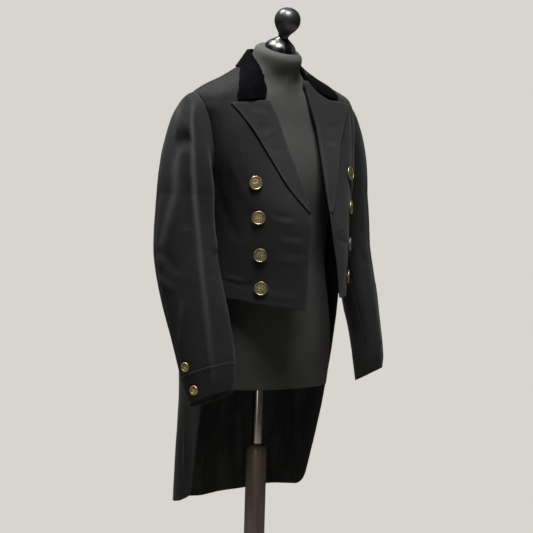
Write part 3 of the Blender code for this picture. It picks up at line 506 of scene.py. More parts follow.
def creased(rows, across, up, across_scale):
    """How far the rows of creases lift the cloth at each place, and how much it is lightened there by rubbed
    nap and painted highlights, or darkened as painted shade.

    A crease is depth * exp(-(d / width)^2), where d is the distance from its bowed line, and it fades to
    nothing at both ends as the root of a sine.
    """
    lift, worn = np.zeros_like(up), np.zeros_like(up)
    for from_across, from_up, to_across, to_up, width, depth, bow, rubbed in rows:
        run = np.array([(to_across - from_across) * across_scale, to_up - from_up])
        length = np.hypot(*run)
        east, north = (across - from_across) * across_scale, up - from_up
        share = (east * run[0] + north * run[1]) / length ** 2
        aside = (north * run[0] - east * run[1]) / length - bow * 4 * share * (1 - share)
        fade = np.sqrt(np.sin(math.pi * np.clip(share, 0, 1)))
        shape = np.exp(-(aside / width) ** 2) * fade
        lift = lift + depth * shape
        worn = worn + rubbed * shape ** 2
    return lift, worn


def pressed(folds, turn, rise):
    """The long folds of a sleeve: a soft crest, depth * exp(-(d / width)^2) over d from its line, lightened
    along it partly by wear and partly as a painted highlight.
    """
    lift, worn = np.zeros_like(rise), np.zeros_like(rise)
    for table, width, depth, rubbed in folds:
        low, high = table.values[0, 0], table.values[-1, 0]
        away = np.abs(turn - table.at("turn", rise)) * SLEEVE_GIRTH
        fade = soft_step((rise - low + 0.004) / 0.03) * soft_step((high - rise) / 0.03)
        lift = lift + depth * np.exp(-(away / width) ** 2) * fade
        worn = worn + rubbed * table.at("wear", rise) * np.exp(-(away / (0.75 * width)) ** 2) * fade
    return lift, worn


def ripples(across, up, depth, seed):
    """Faint unevenness of hanging cloth: a sum of long waves with fixed random directions."""
    rng = np.random.default_rng(seed)
    total = np.zeros_like(up)
    for length in (0.11, 0.075, 0.05, 0.034):
        tilt, phase = rng.uniform(-0.7, 0.7), rng.uniform(0, 2 * math.pi)
        total += length / 0.11 * np.sin(2 * math.pi * (across + tilt * up) / length + phase)
        total += 0.5 * length / 0.11 * np.sin(2 * math.pi * (up - tilt * across) / length + 2 * phase)
    return depth * total / 2


def normals(points, closed=False):
    """Outward normals of a grid whose rows run up and columns run towards the wearer's left."""
    if closed:
        across = np.roll(points, -1, axis=1) - np.roll(points, 1, axis=1)
    else:
        across = np.gradient(points, axis=1)
    return unit(np.cross(across, np.gradient(points, axis=0)))


def edge_distance(points):
    """The distance of each grid point from the left, right, bottom and top edge, along the cloth."""
    across = np.cumsum(np.linalg.norm(np.diff(points, axis=1, prepend=points[:, :1]), axis=-1), axis=1)
    up = np.cumsum(np.linalg.norm(np.diff(points, axis=0, prepend=points[:1]), axis=-1), axis=0)
    return {"left": across, "right": across[:, -1:] - across, "bottom": up, "top": up[-1:] - up}


def new_mesh(name, points, faces, attributes):
    """A smooth-shaded mesh with point attributes."""
    mesh = bpy.data.meshes.new(name)
    mesh.from_pydata(points.tolist(), [], faces)
    mesh.shade_smooth()
    for label, values in attributes.items():
        kind = "FLOAT" if values.ndim == 1 else "FLOAT_VECTOR"
        field = "value" if values.ndim == 1 else "vector"
        mesh.attributes.new(label, kind, "POINT").data.foreach_set(field, values.astype(np.float32).ravel())
    return mesh


def quads(a, b, c, d):
    """Faces from four equal arrays of vertex numbers."""
    return np.stack([a, b, c, d], axis=-1).reshape(-1, 4).tolist()


def capped(rows, columns):
    """Faces of closed rings, bottom to top, with one point in the middle of each end, numbered last."""
    number = np.arange(rows * columns).reshape(rows, columns)
    after = np.roll(number, -1, axis=1)
    faces = quads(number[:-1], after[:-1], after[1:], number[1:])
    for first, second, end in ((after[0], number[0], 0), (number[-1], after[-1], 1)):
        faces += np.stack([first, second, 0 * first + rows * columns + end], axis=-1).tolist()
    return faces


def shell(name, points, place, worn, thickness, seams="", closed=False):
    """Cloth as a closed body: the grid is its outer side, with an inner side and a rounded rim.

    The inner side is the outer one moved in by the thickness. The rim is a half circle between the two,
    or nearly flat on the edges that are named in seams, where the next piece lies close.
    """
    out = normals(points, closed)
    inner = points - thickness * out
    rows, columns = points.shape[:2]
    number = np.arange(rows * columns).reshape(rows, columns)
    wide = np.concatenate([number, number[:, :1]], axis=1) if closed else number
    low, high = wide[:-1], wide[1:]
    faces = quads(low[:, :-1], low[:, 1:], high[:, 1:], high[:, :-1])
    back = rows * columns
    faces += quads(back + high[:, :-1], back + high[:, 1:], back + low[:, 1:], back + low[:, :-1])
    away = np.zeros_like(points)
    away[0] += points[0] - points[1]
    away[-1] += points[-1] - points[-2]
    bulge = np.full((rows, columns), thickness / 2)
    if closed:
        loops = [np.append(number[0], number[0, 0]), np.append(number[-1], number[-1, 0])[::-1]]
    else:
        away[:, 0] += points[:, 0] - points[:, 1]
        away[:, -1] += points[:, -1] - points[:, -2]
        loops = [np.concatenate([number[0], number[1:, -1], number[-1, -2::-1], number[-2::-1, 0]])]
    for edge, where in (("bottom", (0,)), ("top", (-1,)), ("left", (slice(None), 0)),
                        ("right", (slice(None), -1))):
        if edge in seams.split():
            bulge[where] = FLAT_RIM
    away, bulge = unit(away).reshape(-1, 3), bulge.reshape(-1, 1)
    flat, flat_in, flat_out = points.reshape(-1, 3), inner.reshape(-1, 3), out.reshape(-1, 3)
    layers, count = [flat, flat_in], 2 * back
    sources = [np.arange(back), np.arange(back)]
    for loop in loops:
        ring = loop[:-1]
        middle = (flat[ring] + flat_in[ring]) / 2
        chain = [ring]
        for turn in (math.pi / 4, math.pi / 2, 3 * math.pi / 4):
            layers.append(middle + math.cos(turn) * thickness / 2 * flat_out[ring]
                          + math.sin(turn) * bulge[ring] * away[ring])
            sources.append(ring)
            chain.append(count + np.arange(len(ring)))
            count += len(ring)
        chain.append(back + ring)
        for upper, under in zip(chain, chain[1:]):
            faces += quads(upper, under, np.roll(under, -1), np.roll(upper, -1))
    source = np.concatenate(sources)
    outside = np.ones(len(source))
    outside[back:2 * back] = 0.0
    attributes = {"place": np.column_stack([place.reshape(-1, 2)[source], 1.0 - outside]),
                  "worn": worn.reshape(-1)[source] * outside}
    return new_mesh(name, np.concatenate(layers), faces, attributes)


def revolved(name, profile, segments, foot=(0, 0, 0), axis=(0, 0, 1), relief=None, tone=0.0):
    """A body turned from a profile of (radius, height), bottom to top, whose ends lie on the axis.

    relief(radius, turn, height) gives the height with an ornament. The middle of each end is one point.
    """
    profile = np.array(profile, float)
    turn = np.linspace(0, 2 * math.pi, segments, endpoint=False)
    radius = np.repeat(profile[:, :1], segments, axis=1)
    height = np.repeat(profile[:, 1:], segments, axis=1)
    if relief:
        height = relief(radius, turn[None, :], height)
    up = unit(np.array(axis, float))
    side = unit(np.cross([0.0, 1.0, 0.001] if abs(up[2]) > 0.7 else [0.0, 0.0, 1.0], up))
    ring = np.cos(turn)[:, None] * side + np.sin(turn)[:, None] * np.cross(up, side)
    points = np.array(foot, float) + radius[..., None] * ring + height[..., None] * up
    place = np.stack([radius, np.broadcast_to(turn, radius.shape), height], axis=-1)
    place = np.concatenate([place[1:-1].reshape(-1, 3), place[[0, -1], 0]])
    faces = capped(len(profile) - 2, segments)
    points = np.concatenate([points[1:-1].reshape(-1, 3), points[[0, -1]].mean(axis=1)])
    return new_mesh(name, points, faces, {"place": place, "tone": np.full(len(place), tone)})


def rounded(profile, radius):
    """The profile with each inner corner replaced by a short curve, no longer than half of its sides.

    It runs from start to end as start (1 - t)^2 + corner 2 t (1 - t) + end t^2.
    """
    profile = np.array(profile, float)
    points = [profile[:1]]
    for before, corner, after in zip(profile, profile[1:], profile[2:]):
        back, ahead = before - corner, after - corner
        reach = [min(radius, 0.45 * np.hypot(*side)) for side in (back, ahead)]
        start, end = corner + reach[0] * unit(back), corner + reach[1] * unit(ahead)
        t = np.linspace(0, 1, 5)[:, None]
        points.append(start * (1 - t) ** 2 + corner * 2 * t * (1 - t) + end * t * t)
    return np.concatenate([*points, profile[-1:]])


TWILL = 0.00085                 # from one rib of the wool to the next
WALE, COURSE = 0.0011, 0.0009   # from one column and row of the jersey's knit to the next


class Shade:
    """A socket in a material. Arithmetic on it adds Math nodes, and node() adds any other node."""

    def __init__(self, tree, socket=None):
        self.tree, self.socket = tree, socket

    def node(self, kind, settings=None, inputs=None, out=0):
        """Add a node: its settings first, then values or links for its sockets."""
        made = self.tree.nodes.new(kind)
        for name, value in (settings or {}).items():
            setattr(made, name, value)
        for place, value in (inputs or {}).items():
            if isinstance(value, Shade):
                self.tree.links.new(value.socket, made.inputs[place])
            else:
                made.inputs[place].default_value = value
        return Shade(self.tree, made.outputs[out])

    def math(self, operation, *values):
        return self.node("ShaderNodeMath", {"operation": operation}, dict(enumerate(values)))

    def __add__(self, other):
        return self.math("ADD", self, other)

    def __sub__(self, other):
        return self.math("SUBTRACT", self, other)

    def __rsub__(self, other):
        return self.math("SUBTRACT", other, self)

    def __mul__(self, other):
        return self.math("MULTIPLY", self, other)

    __radd__ = __add__
    __rmul__ = __mul__

    def between(self, low, high):
        """0 below low, 1 above high, and a smooth rise between them."""
        return self.node("ShaderNodeMapRange", {"interpolation_type": "SMOOTHSTEP"},
                         {"Value": self, "From Min": low, "From Max": high})

    def mix(self, first, second):
        """The first colour where this value is 0 and the second where it is 1."""
        ends = {6: first, 7: second}
        for place, colour in ends.items():
            if not isinstance(colour, Shade):
                ends[place] = (*colour, 1.0)
        return self.node("ShaderNodeMix", {"data_type": "RGBA"}, {0: self, **ends}, out=2)

    def noise(self, scale, detail=2.0, stretch=(1, 1, 1)):
        """Noise over a vector socket; stretch makes it finer along an axis."""
        vector = self.node("ShaderNodeVectorMath", {"operation": "MULTIPLY"}, {0: self, 1: stretch})
        return self.node("ShaderNodeTexNoise", None, {"Vector": vector, "Scale": scale, "Detail": detail})

    def part(self, axis):
        """One of the three numbers of a vector."""
        return self.node("ShaderNodeSeparateXYZ", None, {0: self}, out="XYZ".index(axis))


class Finish:
    """A material with its Principled shader: constant sockets by name, and varying ones linked."""

    def __init__(self, name, **constants):
        self.made = bpy.data.materials.new(name)
        self.made.use_nodes = True
        self.tree = self.made.node_tree
        self.shader = self.tree.nodes["Principled BSDF"]
        for socket, value in constants.items():
            self.shader.inputs[socket.replace("_", " ")].default_value = value

    def objects(self):
        """Object coordinates."""
        return Shade(self.tree).node("ShaderNodeTexCoord", out=3)

    def attribute(self, label, out=1):
        """A point attribute as a vector, or with out=2 as a number."""
        return Shade(self.tree).node("ShaderNodeAttribute", {"attribute_name": label}, out=out)

    def link(self, socket, shade):
        self.tree.links.new(shade.socket, self.shader.inputs[socket])

    def bump(self, height, strength, distance):
        """Raise the surface by a height from 0 to 1 times the distance."""
        settings = {"Height": height, "Strength": strength, "Distance": distance}
        self.link("Normal", height.node("ShaderNodeBump", None, settings))


def times(colour, *factors):
    """The colour darker or lighter by each factor."""
    return [tuple(factor * channel for channel in colour) for factor in factors]


def wool(colour, lighter_colour):
    """Fulled wool: a soft nap with long faint clouds, a hidden twill and lint, lightened by rubbing and by
    painted highlights along crests, and darkened as painted shade where the wear value is below zero.
    """
    finish = Finish("fulled_wool", Sheen_Weight=0.07, Sheen_Roughness=0.45,
                    Sheen_Tint=(0.62, 0.65, 0.64, 1.0), Specular_IOR_Level=0.12)
    place, spot = finish.attribute("place"), finish.objects()
    clouds = spot.noise(11.0, 3.0).between(0.3, 0.72)
    nap = spot.noise(620.0, 2.0, (1.0, 1.0, 0.4))
    fibre = spot.noise(2300.0, 1.0)
    diagonal = (place.part("X") + place.part("Y")) * (2 * math.pi / TWILL)
    twill = diagonal.math("SINE", diagonal)
    lint = spot.noise(240.0, 0.0).between(0.79, 0.83)
    rubbed = finish.attribute("worn", 2)
    tone = clouds * 0.35 + nap * 0.45 + fibre * 0.25
    dark, light, paler, black = times(colour, 0.62, 1.45, 1.8, 0.2)
    cloth = tone.mix(dark, light)
    streaks = spot.noise(34.0, 4.0, (1.0, 1.0, 0.22)).between(0.4, 0.68)
    inside = (streaks * 0.8 + nap * 0.3).mix(dark, paler)
    cloth = place.part("Z").mix(cloth, inside)
    # Painted shade: where the value is below zero, the cloth darkens towards a fifth of its colour.
    painted_shade = (0.0 - rubbed).between(0.0, 1.0)
    cloth = painted_shade.mix(cloth, black)
    # Lighter where rubbed, and as painted highlights along crests and on the lapels.
    cloth = (rubbed * (0.55 + nap * 0.6)).math("MINIMUM", rubbed, 1.0).mix(cloth, lighter_colour)
    finish.link("Base Color", (lint * 0.2).mix(cloth, (0.08, 0.08, 0.075)))
    finish.link("Roughness", 0.93 - rubbed.between(0.0, 1.0) * 0.22 - nap * 0.06)
    finish.bump(nap * 0.5 + fibre * 0.4 + twill * 0.05, 0.5, 0.0005)
    return finish.made


def velvet(colour, lighter_colour):
    """Cotton velvet: almost black, with a bright sheen at the rim and patches where the pile is crushed."""
    finish = Finish("collar_velvet", Sheen_Weight=0.03, Sheen_Roughness=0.30,
                    Sheen_Tint=(0.36, 0.38, 0.41, 1.0), Specular_IOR_Level=0.03)
    spot = finish.objects()
    crushed = spot.noise(38.0, 4.0).between(0.38, 0.75)
    pile = spot.noise(1500.0, 2.0)
    rubbed = finish.attribute("worn", 2)
    cloth = (crushed * 0.5 + pile * 0.4).mix(*times(colour, 0.4, 1.2))
    finish.link("Base Color", (rubbed * (0.4 + pile * 0.8)).mix(cloth, lighter_colour))
    finish.link("Roughness", 0.97 - crushed * 0.12)
    finish.bump(pile * 0.6 + crushed * 0.6, 0.45, 0.0007)
    return finish.made


def jersey(colour):
    """Fine knitted jersey stretched over the form, with painted shade: darker towards the bottom, lighter
    towards the chest.
    """
    finish = Finish("form_jersey", Sheen_Weight=0.06, Sheen_Roughness=0.5,
                    Sheen_Tint=(0.7, 0.7, 0.68, 1.0), Specular_IOR_Level=0.12)
    place, spot = finish.attribute("place"), finish.objects()
    wales = place.part("X") * (2 * math.pi / WALE)
    courses = place.part("Y") * (2 * math.pi / COURSE)
    knit = wales.math("SINE", wales).math("ABSOLUTE", wales.math("SINE", wales))
    loops = courses.math("SINE", courses) * 0.25
    clouds = spot.noise(7.0, 3.0).between(0.3, 0.7)
    fibre = spot.noise(1700.0, 1.0)
    # Painted shade: the jersey is darker low down and lighter towards the chest.
    paler = place.part("Y").between(0.98, 1.36)
    tone = clouds * 0.3 + knit * 0.2 + fibre * 0.2 + paler * 0.4
    finish.link("Base Color", tone.mix(*times(colour, 0.36, 1.5)))
    finish.link("Roughness", 0.86 + fibre * 0.12)
    finish.bump(knit * 0.5 + loops + fibre * 0.25, 0.35, 0.0004)
    return finish.made


def brass(colour, tarnish):
    """Old brass: bright on what stands up, brown and green in what lies deep, and finely scratched."""
    finish = Finish("old_brass", Metallic=1.0)
    spot, place, tone = finish.objects(), finish.attribute("place"), finish.attribute("tone", 2)
    patches = spot.noise(420.0, 3.0).between(0.35, 0.7)
    grime = spot.noise(1500.0, 2.0)
    deep = (0.0047 - place.part("Z")).between(-0.0006, 0.0016)
    dull = (patches * 0.45 + deep * 0.55 + tone * 0.25).between(0.1, 1.0)
    green = (tone * patches).between(0.15, 0.6)
    finish.link("Base Color", green.mix(dull.mix(colour, tarnish), (0.13, 0.135, 0.085)))
    finish.link("Roughness", 0.30 + dull * 0.25 + grime * 0.1)
    finish.link("Metallic", 1.0 - dull * 0.35)
    finish.bump(grime * 0.6 + patches * 0.4, 0.25, 0.0002)
    return finish.made


def chrome(colour):
    """Polished chrome with faint smears, and dark streaks down its slope painted into its colour as
    reflections.
    """
    finish = Finish("polished_chrome")
    spot = finish.objects()
    smears = spot.noise(60.0, 4.0, (1.0, 1.0, 0.3)).between(0.4, 0.8)
    streaks = spot.noise(95.0, 1.0, (1.0, 0.3, 0.12)).between(0.42, 0.62)
    # Painted reflection: the streaks darken its colour, standing in for reflected dark surroundings.
    finish.link("Base Color", (streaks * 0.95).mix(*times(colour, 1, 0.04)))
    finish.link("Metallic", 0.72 - smears * 0.10)
    finish.link("Roughness", 0.28 + smears * 0.12)
    return finish.made


def lacquer(colour):
    """Gloss black lacquer with dust and fine orange peel."""
    finish = Finish("black_lacquer", Coat_Weight=0.3, Coat_Roughness=0.33)
    spot = finish.objects()
    dust = spot.noise(900.0, 1.0).between(0.66, 0.74)
    finish.link("Base Color", (dust * 0.3).mix(colour, (0.12, 0.12, 0.11)))
    finish.link("Roughness", 0.40 + dust * 0.2)
    finish.bump(spot.noise(180.0, 1.0), 0.05, 0.0003)
    return finish.made


def steel(colour):
    """Satin steel tube: fine rings round it and a few dull patches."""
    finish = Finish("satin_steel", Metallic=1.0)
    spot = finish.objects()
    rings = spot.noise(260.0, 3.0, (0.2, 0.2, 6.0))
    patches = spot.noise(30.0, 3.0).between(0.4, 0.7)
    finish.link("Base Color", (patches * 0.5).mix(*times(colour, 1, 0.6)))
    finish.link("Roughness", 0.14 + rings * 0.10 + patches * 0.08)
    finish.bump(rings, 0.02, 0.0001)
    return finish.made


def wood(colour):
    """Dark stained wood: long grain along the height, open pores and a worn varnish."""
    finish = Finish("dark_wood", Coat_Weight=0.35, Coat_Roughness=0.18)
    spot = finish.objects()
    grain = spot.noise(46.0, 4.0, (1.0, 1.0, 0.06))
    pores = spot.noise(700.0, 2.0, (1.0, 1.0, 0.05)).between(0.6, 0.75)
    wear = spot.noise(16.0, 3.0).between(0.45, 0.75)
    dark, light = times(colour, 0.45, 1.8)
    finish.link("Base Color", (pores * 0.6).mix(grain.between(0.3, 0.75).mix(dark, light), dark))
    finish.link("Roughness", 0.34 + wear * 0.2 + pores * 0.2)
    finish.bump(grain * 0.4 - pores * 0.5, 0.2, 0.0004)
    return finish.made


# The material of each slot of the record: its name, its maker and the colours that it takes
FINISHES = {
    "wool": ("fulled_wool", wool, "wool", "rubbed"),
    "velvet": ("collar_velvet", velvet, "velvet", "rubbed_velvet"),
    "jersey": ("form_jersey", jersey, "jersey"),
    "brass": ("old_brass", brass, "brass", "tarnish"),
    "chrome": ("polished_chrome", chrome, "chrome"),
    "gloss_black": ("black_lacquer", lacquer, "lacquer"),
    "steel": ("satin_steel", steel, "steel"),
    "wood": ("dark_wood", wood, "wood")}


def finish_for(slot):
    """The material of a slot, made once from the colours in the panel."""
    name, make, *colours = FINISHES[slot]
    looks = bpy.context.scene.tailcoat_colours
    return bpy.data.materials.get(name) or make(*(getattr(looks, field) for field in colours))


def add_piece(mesh, slot, node):
    """Put a finished mesh into the scene as a piece, in place of its CAD node."""
    piece = bpy.data.objects.new(mesh.name, mesh)
    bpy.context.scene.collection.objects.link(piece)
    mesh.materials.append(finish_for(slot))
    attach(piece, "root")
    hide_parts(node)
    return piece


def add_cloth(node, points, place, worn, slot="wool", seams="", closed=False):
    """A cloth panel in place of its node. It works out the width, the length and the area that the cloth is
    cut to, without seam turnings, but does not use them.
    """
    thickness = bpy.context.scene.tailcoat_sizes.cloth
    piece = add_piece(shell(f"{node}_cloth", points, place, worn, thickness, seams, closed), slot, node)
    ring = np.concatenate([points, points[:, :1]], axis=1) if closed else points
    across, up = np.diff(ring, axis=1), np.diff(ring, axis=0)
    width = np.linalg.norm(across, axis=-1).sum(axis=1).max()
    length = np.linalg.norm(up, axis=-1).sum(axis=0).max()
    area = np.linalg.norm(np.cross(across[:-1], up[:, :-1]), axis=-1).sum()


def sunk(points, seams, depth=0.0009, width=0.0022):
    """The dip beside the seams: depth * exp(-d / width) from each named edge."""
    distance = edge_distance(points)
    return -depth * sum(np.exp(-distance[name] / width) for name in seams.split())


def edge_wear(points, edges, width=0.0035):
    """How rubbed the cloth is along its free edges."""
    distance = edge_distance(points)
    return sum(np.exp(-distance[name] / width) for name in edges.split())


def armhole_back(height, rear):
    """How far back the front or rear half of the armhole lies at that height."""
    turns = np.linspace(UNDERARM, 1.0 if rear else 0.0, 400)
    return np.interp(height, ARMHOLE.at("height", turns), ARMHOLE.at("back", turns))


def body_side_angle(height, rear):
    """The angle of the armhole's edge, or of the shoulder seam above it."""
    edge = armhole_back(height, rear)
    shoulder = height >= SHOULDER_HEIGHT
    half = np.where(shoulder, SHOULDER_HALF, STRAIGHT_HALF)
    edge = np.where(shoulder, 0.0, edge) + (half if rear else -half)
    return angle_at_back(BODY, edge, height)


def body_heights(start):
    """Row heights of a body panel: even up to start, then finer along the armhole and the shoulder."""
    bottom = WAIST + SEAM / 2
    low = bottom + (start - bottom) * even(start - bottom)
    middle = start + (SHOULDER_HEIGHT - start) * even(ARMHOLE_HEIGHT)[1:] ** 1.25
    top = SHOULDER_HEIGHT + (NECK_HEIGHT - SHOULDER_HEIGHT) * even(SHOULDER_LENGTH)[1:]
    return np.concatenate([low, middle, top])


def body_piece(node, side, angle, height, creases, seams, free, seed):
    """A panel of the coat's body from its grid of angles and heights, with its creases.

    The grid is the wearer's left one; seams and free name its sewn and its free edges.
    """
    points = section_point(BODY, angle, height)
    points[..., 2] += shoulder_lift(points, side)
    across = np.degrees(angle)
    lift, worn = creased(creases, across, height, DEGREE)
    lift = lift + sunk(points, seams) + ripples(across * DEGREE, height, 0.0004, seed)
    worn = worn + 0.10 * edge_wear(points, free)
    points = points + lift[..., None] * normals(points)
    place = np.stack([across * DEGREE, height], axis=-1)
    points, place, worn = for_side(side, points, place, worn)
    if side == RIGHT:
        other = {"left": "right", "right": "left"}
        seams = " ".join(other.get(edge, edge) for edge in seams.split())
    add_cloth(node, points, place, worn, seams=seams)


def make_front(side):
    """From the free edge or roll line to the side seam, the armhole and the shoulder seam."""
    underarm = float(ARMHOLE.at("height", UNDERARM))
    heights = body_heights(underarm)
    start = angle_at_out(BODY, FRONT_EDGE[side].at("out", heights), heights)
    end = body_side_angle(heights, rear=False)
    side_seam = angle_at_back(BODY, ARMHOLE.at("back", UNDERARM) - STRAIGHT_HALF, heights)
    end = side_seam + (end - side_seam) * soft_step((heights - underarm) / JOIN)
    angle = start[:, None] + (end - start)[:, None] * even(FRONT_BREADTH)
    height = np.broadcast_to(heights[:, None], angle.shape)
    forward = np.clip(1 - np.abs(angle) / HEM_TURN, 0, 1) ** 0.8
    fade = np.clip(1 - (height - WAIST) / HEM_FADE, 0, 1) ** 2
    height = height - HEM_DROP[side] * forward * fade
    body_piece(f"front_{WORDS[side]}", side, angle, height, FRONT_CREASES[side], "right top",
               "left bottom", 11 + side)


def make_side_body(side):
    """From the side seam to the curved back seam, under the back of the armhole.

    Its columns run up straight, and all but the outer two turn to the armhole's edge near their top.
    """
    across, up = even(SIDE_BREADTH), even(SIDE_HEIGHT)[:, None]
    turns = UNDERARM + (SIDE_TURN - UNDERARM) * across
    bottom = WAIST + SEAM / 2
    height = bottom + (ARMHOLE.at("height", turns)[None, :] - bottom) * up
    start = angle_at_back(BODY, ARMHOLE.at("back", UNDERARM) + STRAIGHT_HALF, height)
    end = angle_at_out(BODY, BACK_SEAM.at("out", height), height, behind=True) - CURVED_HALF
    angle = start + (end - start) * across
    hole = angle_at_back(BODY, ARMHOLE.at("back", turns), height)
    angle = angle + (hole - angle) * up ** 6 * (across < 1) * (across > 0)
    body_piece(f"side_body_{WORDS[side]}", side, angle, height, BACK_CREASES[side], "left right top bottom",
               "", 21 + side)


def make_back(side):
    """From the curved back seam, the armhole and the shoulder seam to the middle of the back."""
    meet = float(ARMHOLE.at("height", SIDE_TURN))
    heights = body_heights(meet)
    seam = angle_at_out(BODY, BACK_SEAM.at("out", heights), heights, behind=True) + CURVED_HALF
    start = seam + (body_side_angle(heights, rear=True) - seam) * soft_step((heights - meet) / JOIN)
    middle = angle_at_out(BODY, SEAM / 2, heights, behind=True)
    share = even(BACK_BREADTH)
    angle = start[:, None] + (middle - start)[:, None] * share
    height = np.broadcast_to(heights[:, None], angle.shape)
    neckline = soft_step((height - NECK_DIP_START) / (NECK_HEIGHT - NECK_DIP_START))
    height = height - NECK_DIP * share * neckline
    body_piece(f"back_{WORDS[side]}", side, angle, height, BACK_CREASES[side], "left right top bottom",
               "", 31 + side)


def make_tail(side):
    """From the cutaway edge round to the vent, hanging from the waist seam in soft folds.

    The folds are FOLD_DEPTH (1 - up)^1.2 sin(FOLDS (pi - angle)), which are deepest at the hem.
    """
    up, across = even(TAIL_LENGTH)[:, None], even(TAIL_BREADTH)
    hem = TAIL_HEM[side].at("height", across)
    corner = np.clip(1 - across * CORNER_BREADTH / TAIL_CORNER, 0, 1)
    hem = hem + TAIL_CORNER * (1 - np.sqrt(1 - corner ** 2))
    height = hem + (WAIST + SEAM / 3 - hem) * up
    start = angle_at_back(SKIRT, TAIL_EDGE.at("back", height) - TAIL_AHEAD[side], height)
    end = angle_at_out(SKIRT, VENT / 2, height, behind=True)
    angle = start + (end - start) * across
    points = section_point(SKIRT, angle, height)
    fold = FOLD_DEPTH * (1 - up) ** 1.2 * np.sin(FOLDS * (math.pi - angle)) * (1 - across ** 8)
    turn = np.degrees(angle)
    lift, worn = creased(TAIL_CREASES[side], turn, height, DEGREE)
    lift = lift * np.minimum(1, 3 * up * (1 - across) + 0.3) + sunk(points, "top")
    lift = lift + ripples(turn * DEGREE, height, 0.0005, 41 + side)
    lift = lift + TAIL_SWING[side] * soft_step((1 - up) / 0.5) * np.exp(-((turn - 105) / 35) ** 2)
    points = points + (lift + fold)[..., None] * normals(points)
    worn = worn + 0.12 * edge_wear(points, "left right bottom")
    place = np.stack([turn * DEGREE, height], axis=-1)
    points, place, worn = for_side(side, points, place, worn)
    add_cloth(f"tail_{WORDS[side]}", points, place, worn, seams="top")


def arm_ring(turn, rise, side):
    """A point of the sleeve: an ellipse whose long way runs forwards and in, slanted at the cuff."""
    phase = math.pi / 2 - 2 * math.pi * np.asarray(turn, float)
    rise = np.asarray(rise, float)
    below = 1 - rise / BICEPS_RISE
    along = ARM.at("long", rise) * np.cos(phase)
    aside = ARM.at("short", rise) * (1 - FLATTER[side] * below) * np.sin(phase)
    outward = -math.sin(SLEEVE_TURN) * along + math.cos(SLEEVE_TURN) * aside
    forward = math.cos(SLEEVE_TURN) * along + math.sin(SLEEVE_TURN) * aside
    x = ARM.at("out", rise) + outward - INWARD[side] * below
    y = ARM.at("back", rise) - forward
    z = BICEPS - below * (BICEPS - SLEEVE_HEM[side])
    z = z + ARM.at("slant", rise) * (SLANT[side] * forward + SLANT_ASIDE[side] * outward)
    return np.stack(np.broadcast_arrays(x, y, z), axis=-1)


def armhole_point(turn, side):
    """The start of the sleeve head: just outside the armhole's edge."""
    turn = np.mod(turn, 1.0)
    back, height = ARMHOLE.at("back", turn), ARMHOLE.at("height", turn)
    points = section_point(BODY, angle_at_back(BODY, back, height), height)
    away = points - np.array([0.0, 0.0, ARMHOLE_MIDDLE])
    away[..., 0] = 0.0
    points = points + CAP_PROUD * unit(away)
    rear = soft_step((turn - 0.50) / 0.06) * soft_step((0.985 - turn) / 0.05)
    points[..., 0] += LAY - REAR_LAP * rear
    points[..., 2] += shoulder_lift(points, side)
    return points


def sleeve_points(turns, side):
    """The sleeve's head, a Hermite blend from armhole to biceps, and below it the arm's rings.

    Returns the grid and the rise of its rows, which goes on above the biceps along the head.
    """
    edge, biceps = armhole_point(turns, side), arm_ring(turns, BICEPS_RISE, side)
    chord = np.linalg.norm(biceps - edge, axis=-1, keepdims=True)
    leave = np.array([HEAD_OUT, 0.0, HEAD_RISE[side]]) * chord
    arrive = np.array([0.0, 0.0, -HEAD_FALL]) * chord
    share = even(HEAD_LENGTH)[:-1]
    head = hermite(edge, biceps, leave, arrive, share[:, None, None])
    bottom = CUFF + SEAM
    rises = BICEPS_RISE + (bottom - BICEPS_RISE) * even(BICEPS_RISE - bottom)
    grid = np.concatenate([head, arm_ring(turns[None, :], rises[:, None], side)])[::-1]
    rise = np.concatenate([BICEPS_RISE + HEAD_LENGTH * (1 - share), rises])[::-1]
    return grid, rise[:, None]


def sleeve_relief(turn, rise, side, seed):
    """The lift of a sleeve's creases and long pressed folds, which go by turns below 1, and how much the
    cloth is lightened by wear and painted highlights or darkened by painted shade.
    """
    rise = rise + 0 * turn
    lift, worn = np.zeros_like(rise), np.zeros_like(rise)
    for whole in (0, 1):
        more, rubbed = creased(SLEEVE_CREASES[side], turn - whole, rise, SLEEVE_GIRTH)
        fold, crest = pressed(PRESSED_FOLDS[side], turn - whole, rise)
        lift, worn = lift + more + fold, worn + rubbed + crest
    lift = lift + ripples(turn * SLEEVE_GIRTH, rise, 0.0005, seed)
    # Painted shade: the sleeve is darkened, more towards its head.
    worn = worn - PAINTED_SLEEVE_SHADE[side] * (0.35 + 0.65 * soft_step(rise / 0.5))
    return lift, worn


def make_sleeve(side):
    """Top sleeve and under sleeve, between the forearm seam and the hindarm seam."""
    inset = STRAIGHT_HALF / SLEEVE_GIRTH
    spans = (("top_sleeve", HINDARM_SEAM - 1, FOREARM_SEAM), ("under_sleeve", FOREARM_SEAM, HINDARM_SEAM))
    for name, start, end in spans:
        turn = start + inset + (end - start - 2 * inset) * even((end - start) * SLEEVE_GIRTH)
        points, rise = sleeve_points(turn, side)
        points, turn = for_side(side, points[:, ::-1], turn[None, ::-1])
        lift, worn = sleeve_relief(turn, rise, side, 51 + side)
        lift = lift + sunk(points, "left right", 0.0006, 0.0025)
        points = points + lift[..., None] * normals(points)
        place = np.stack(np.broadcast_arrays(turn * SLEEVE_GIRTH, rise), axis=-1)
        add_cloth(f"{name}_{WORDS[side]}", points, place, worn,
                  seams="left right top bottom")


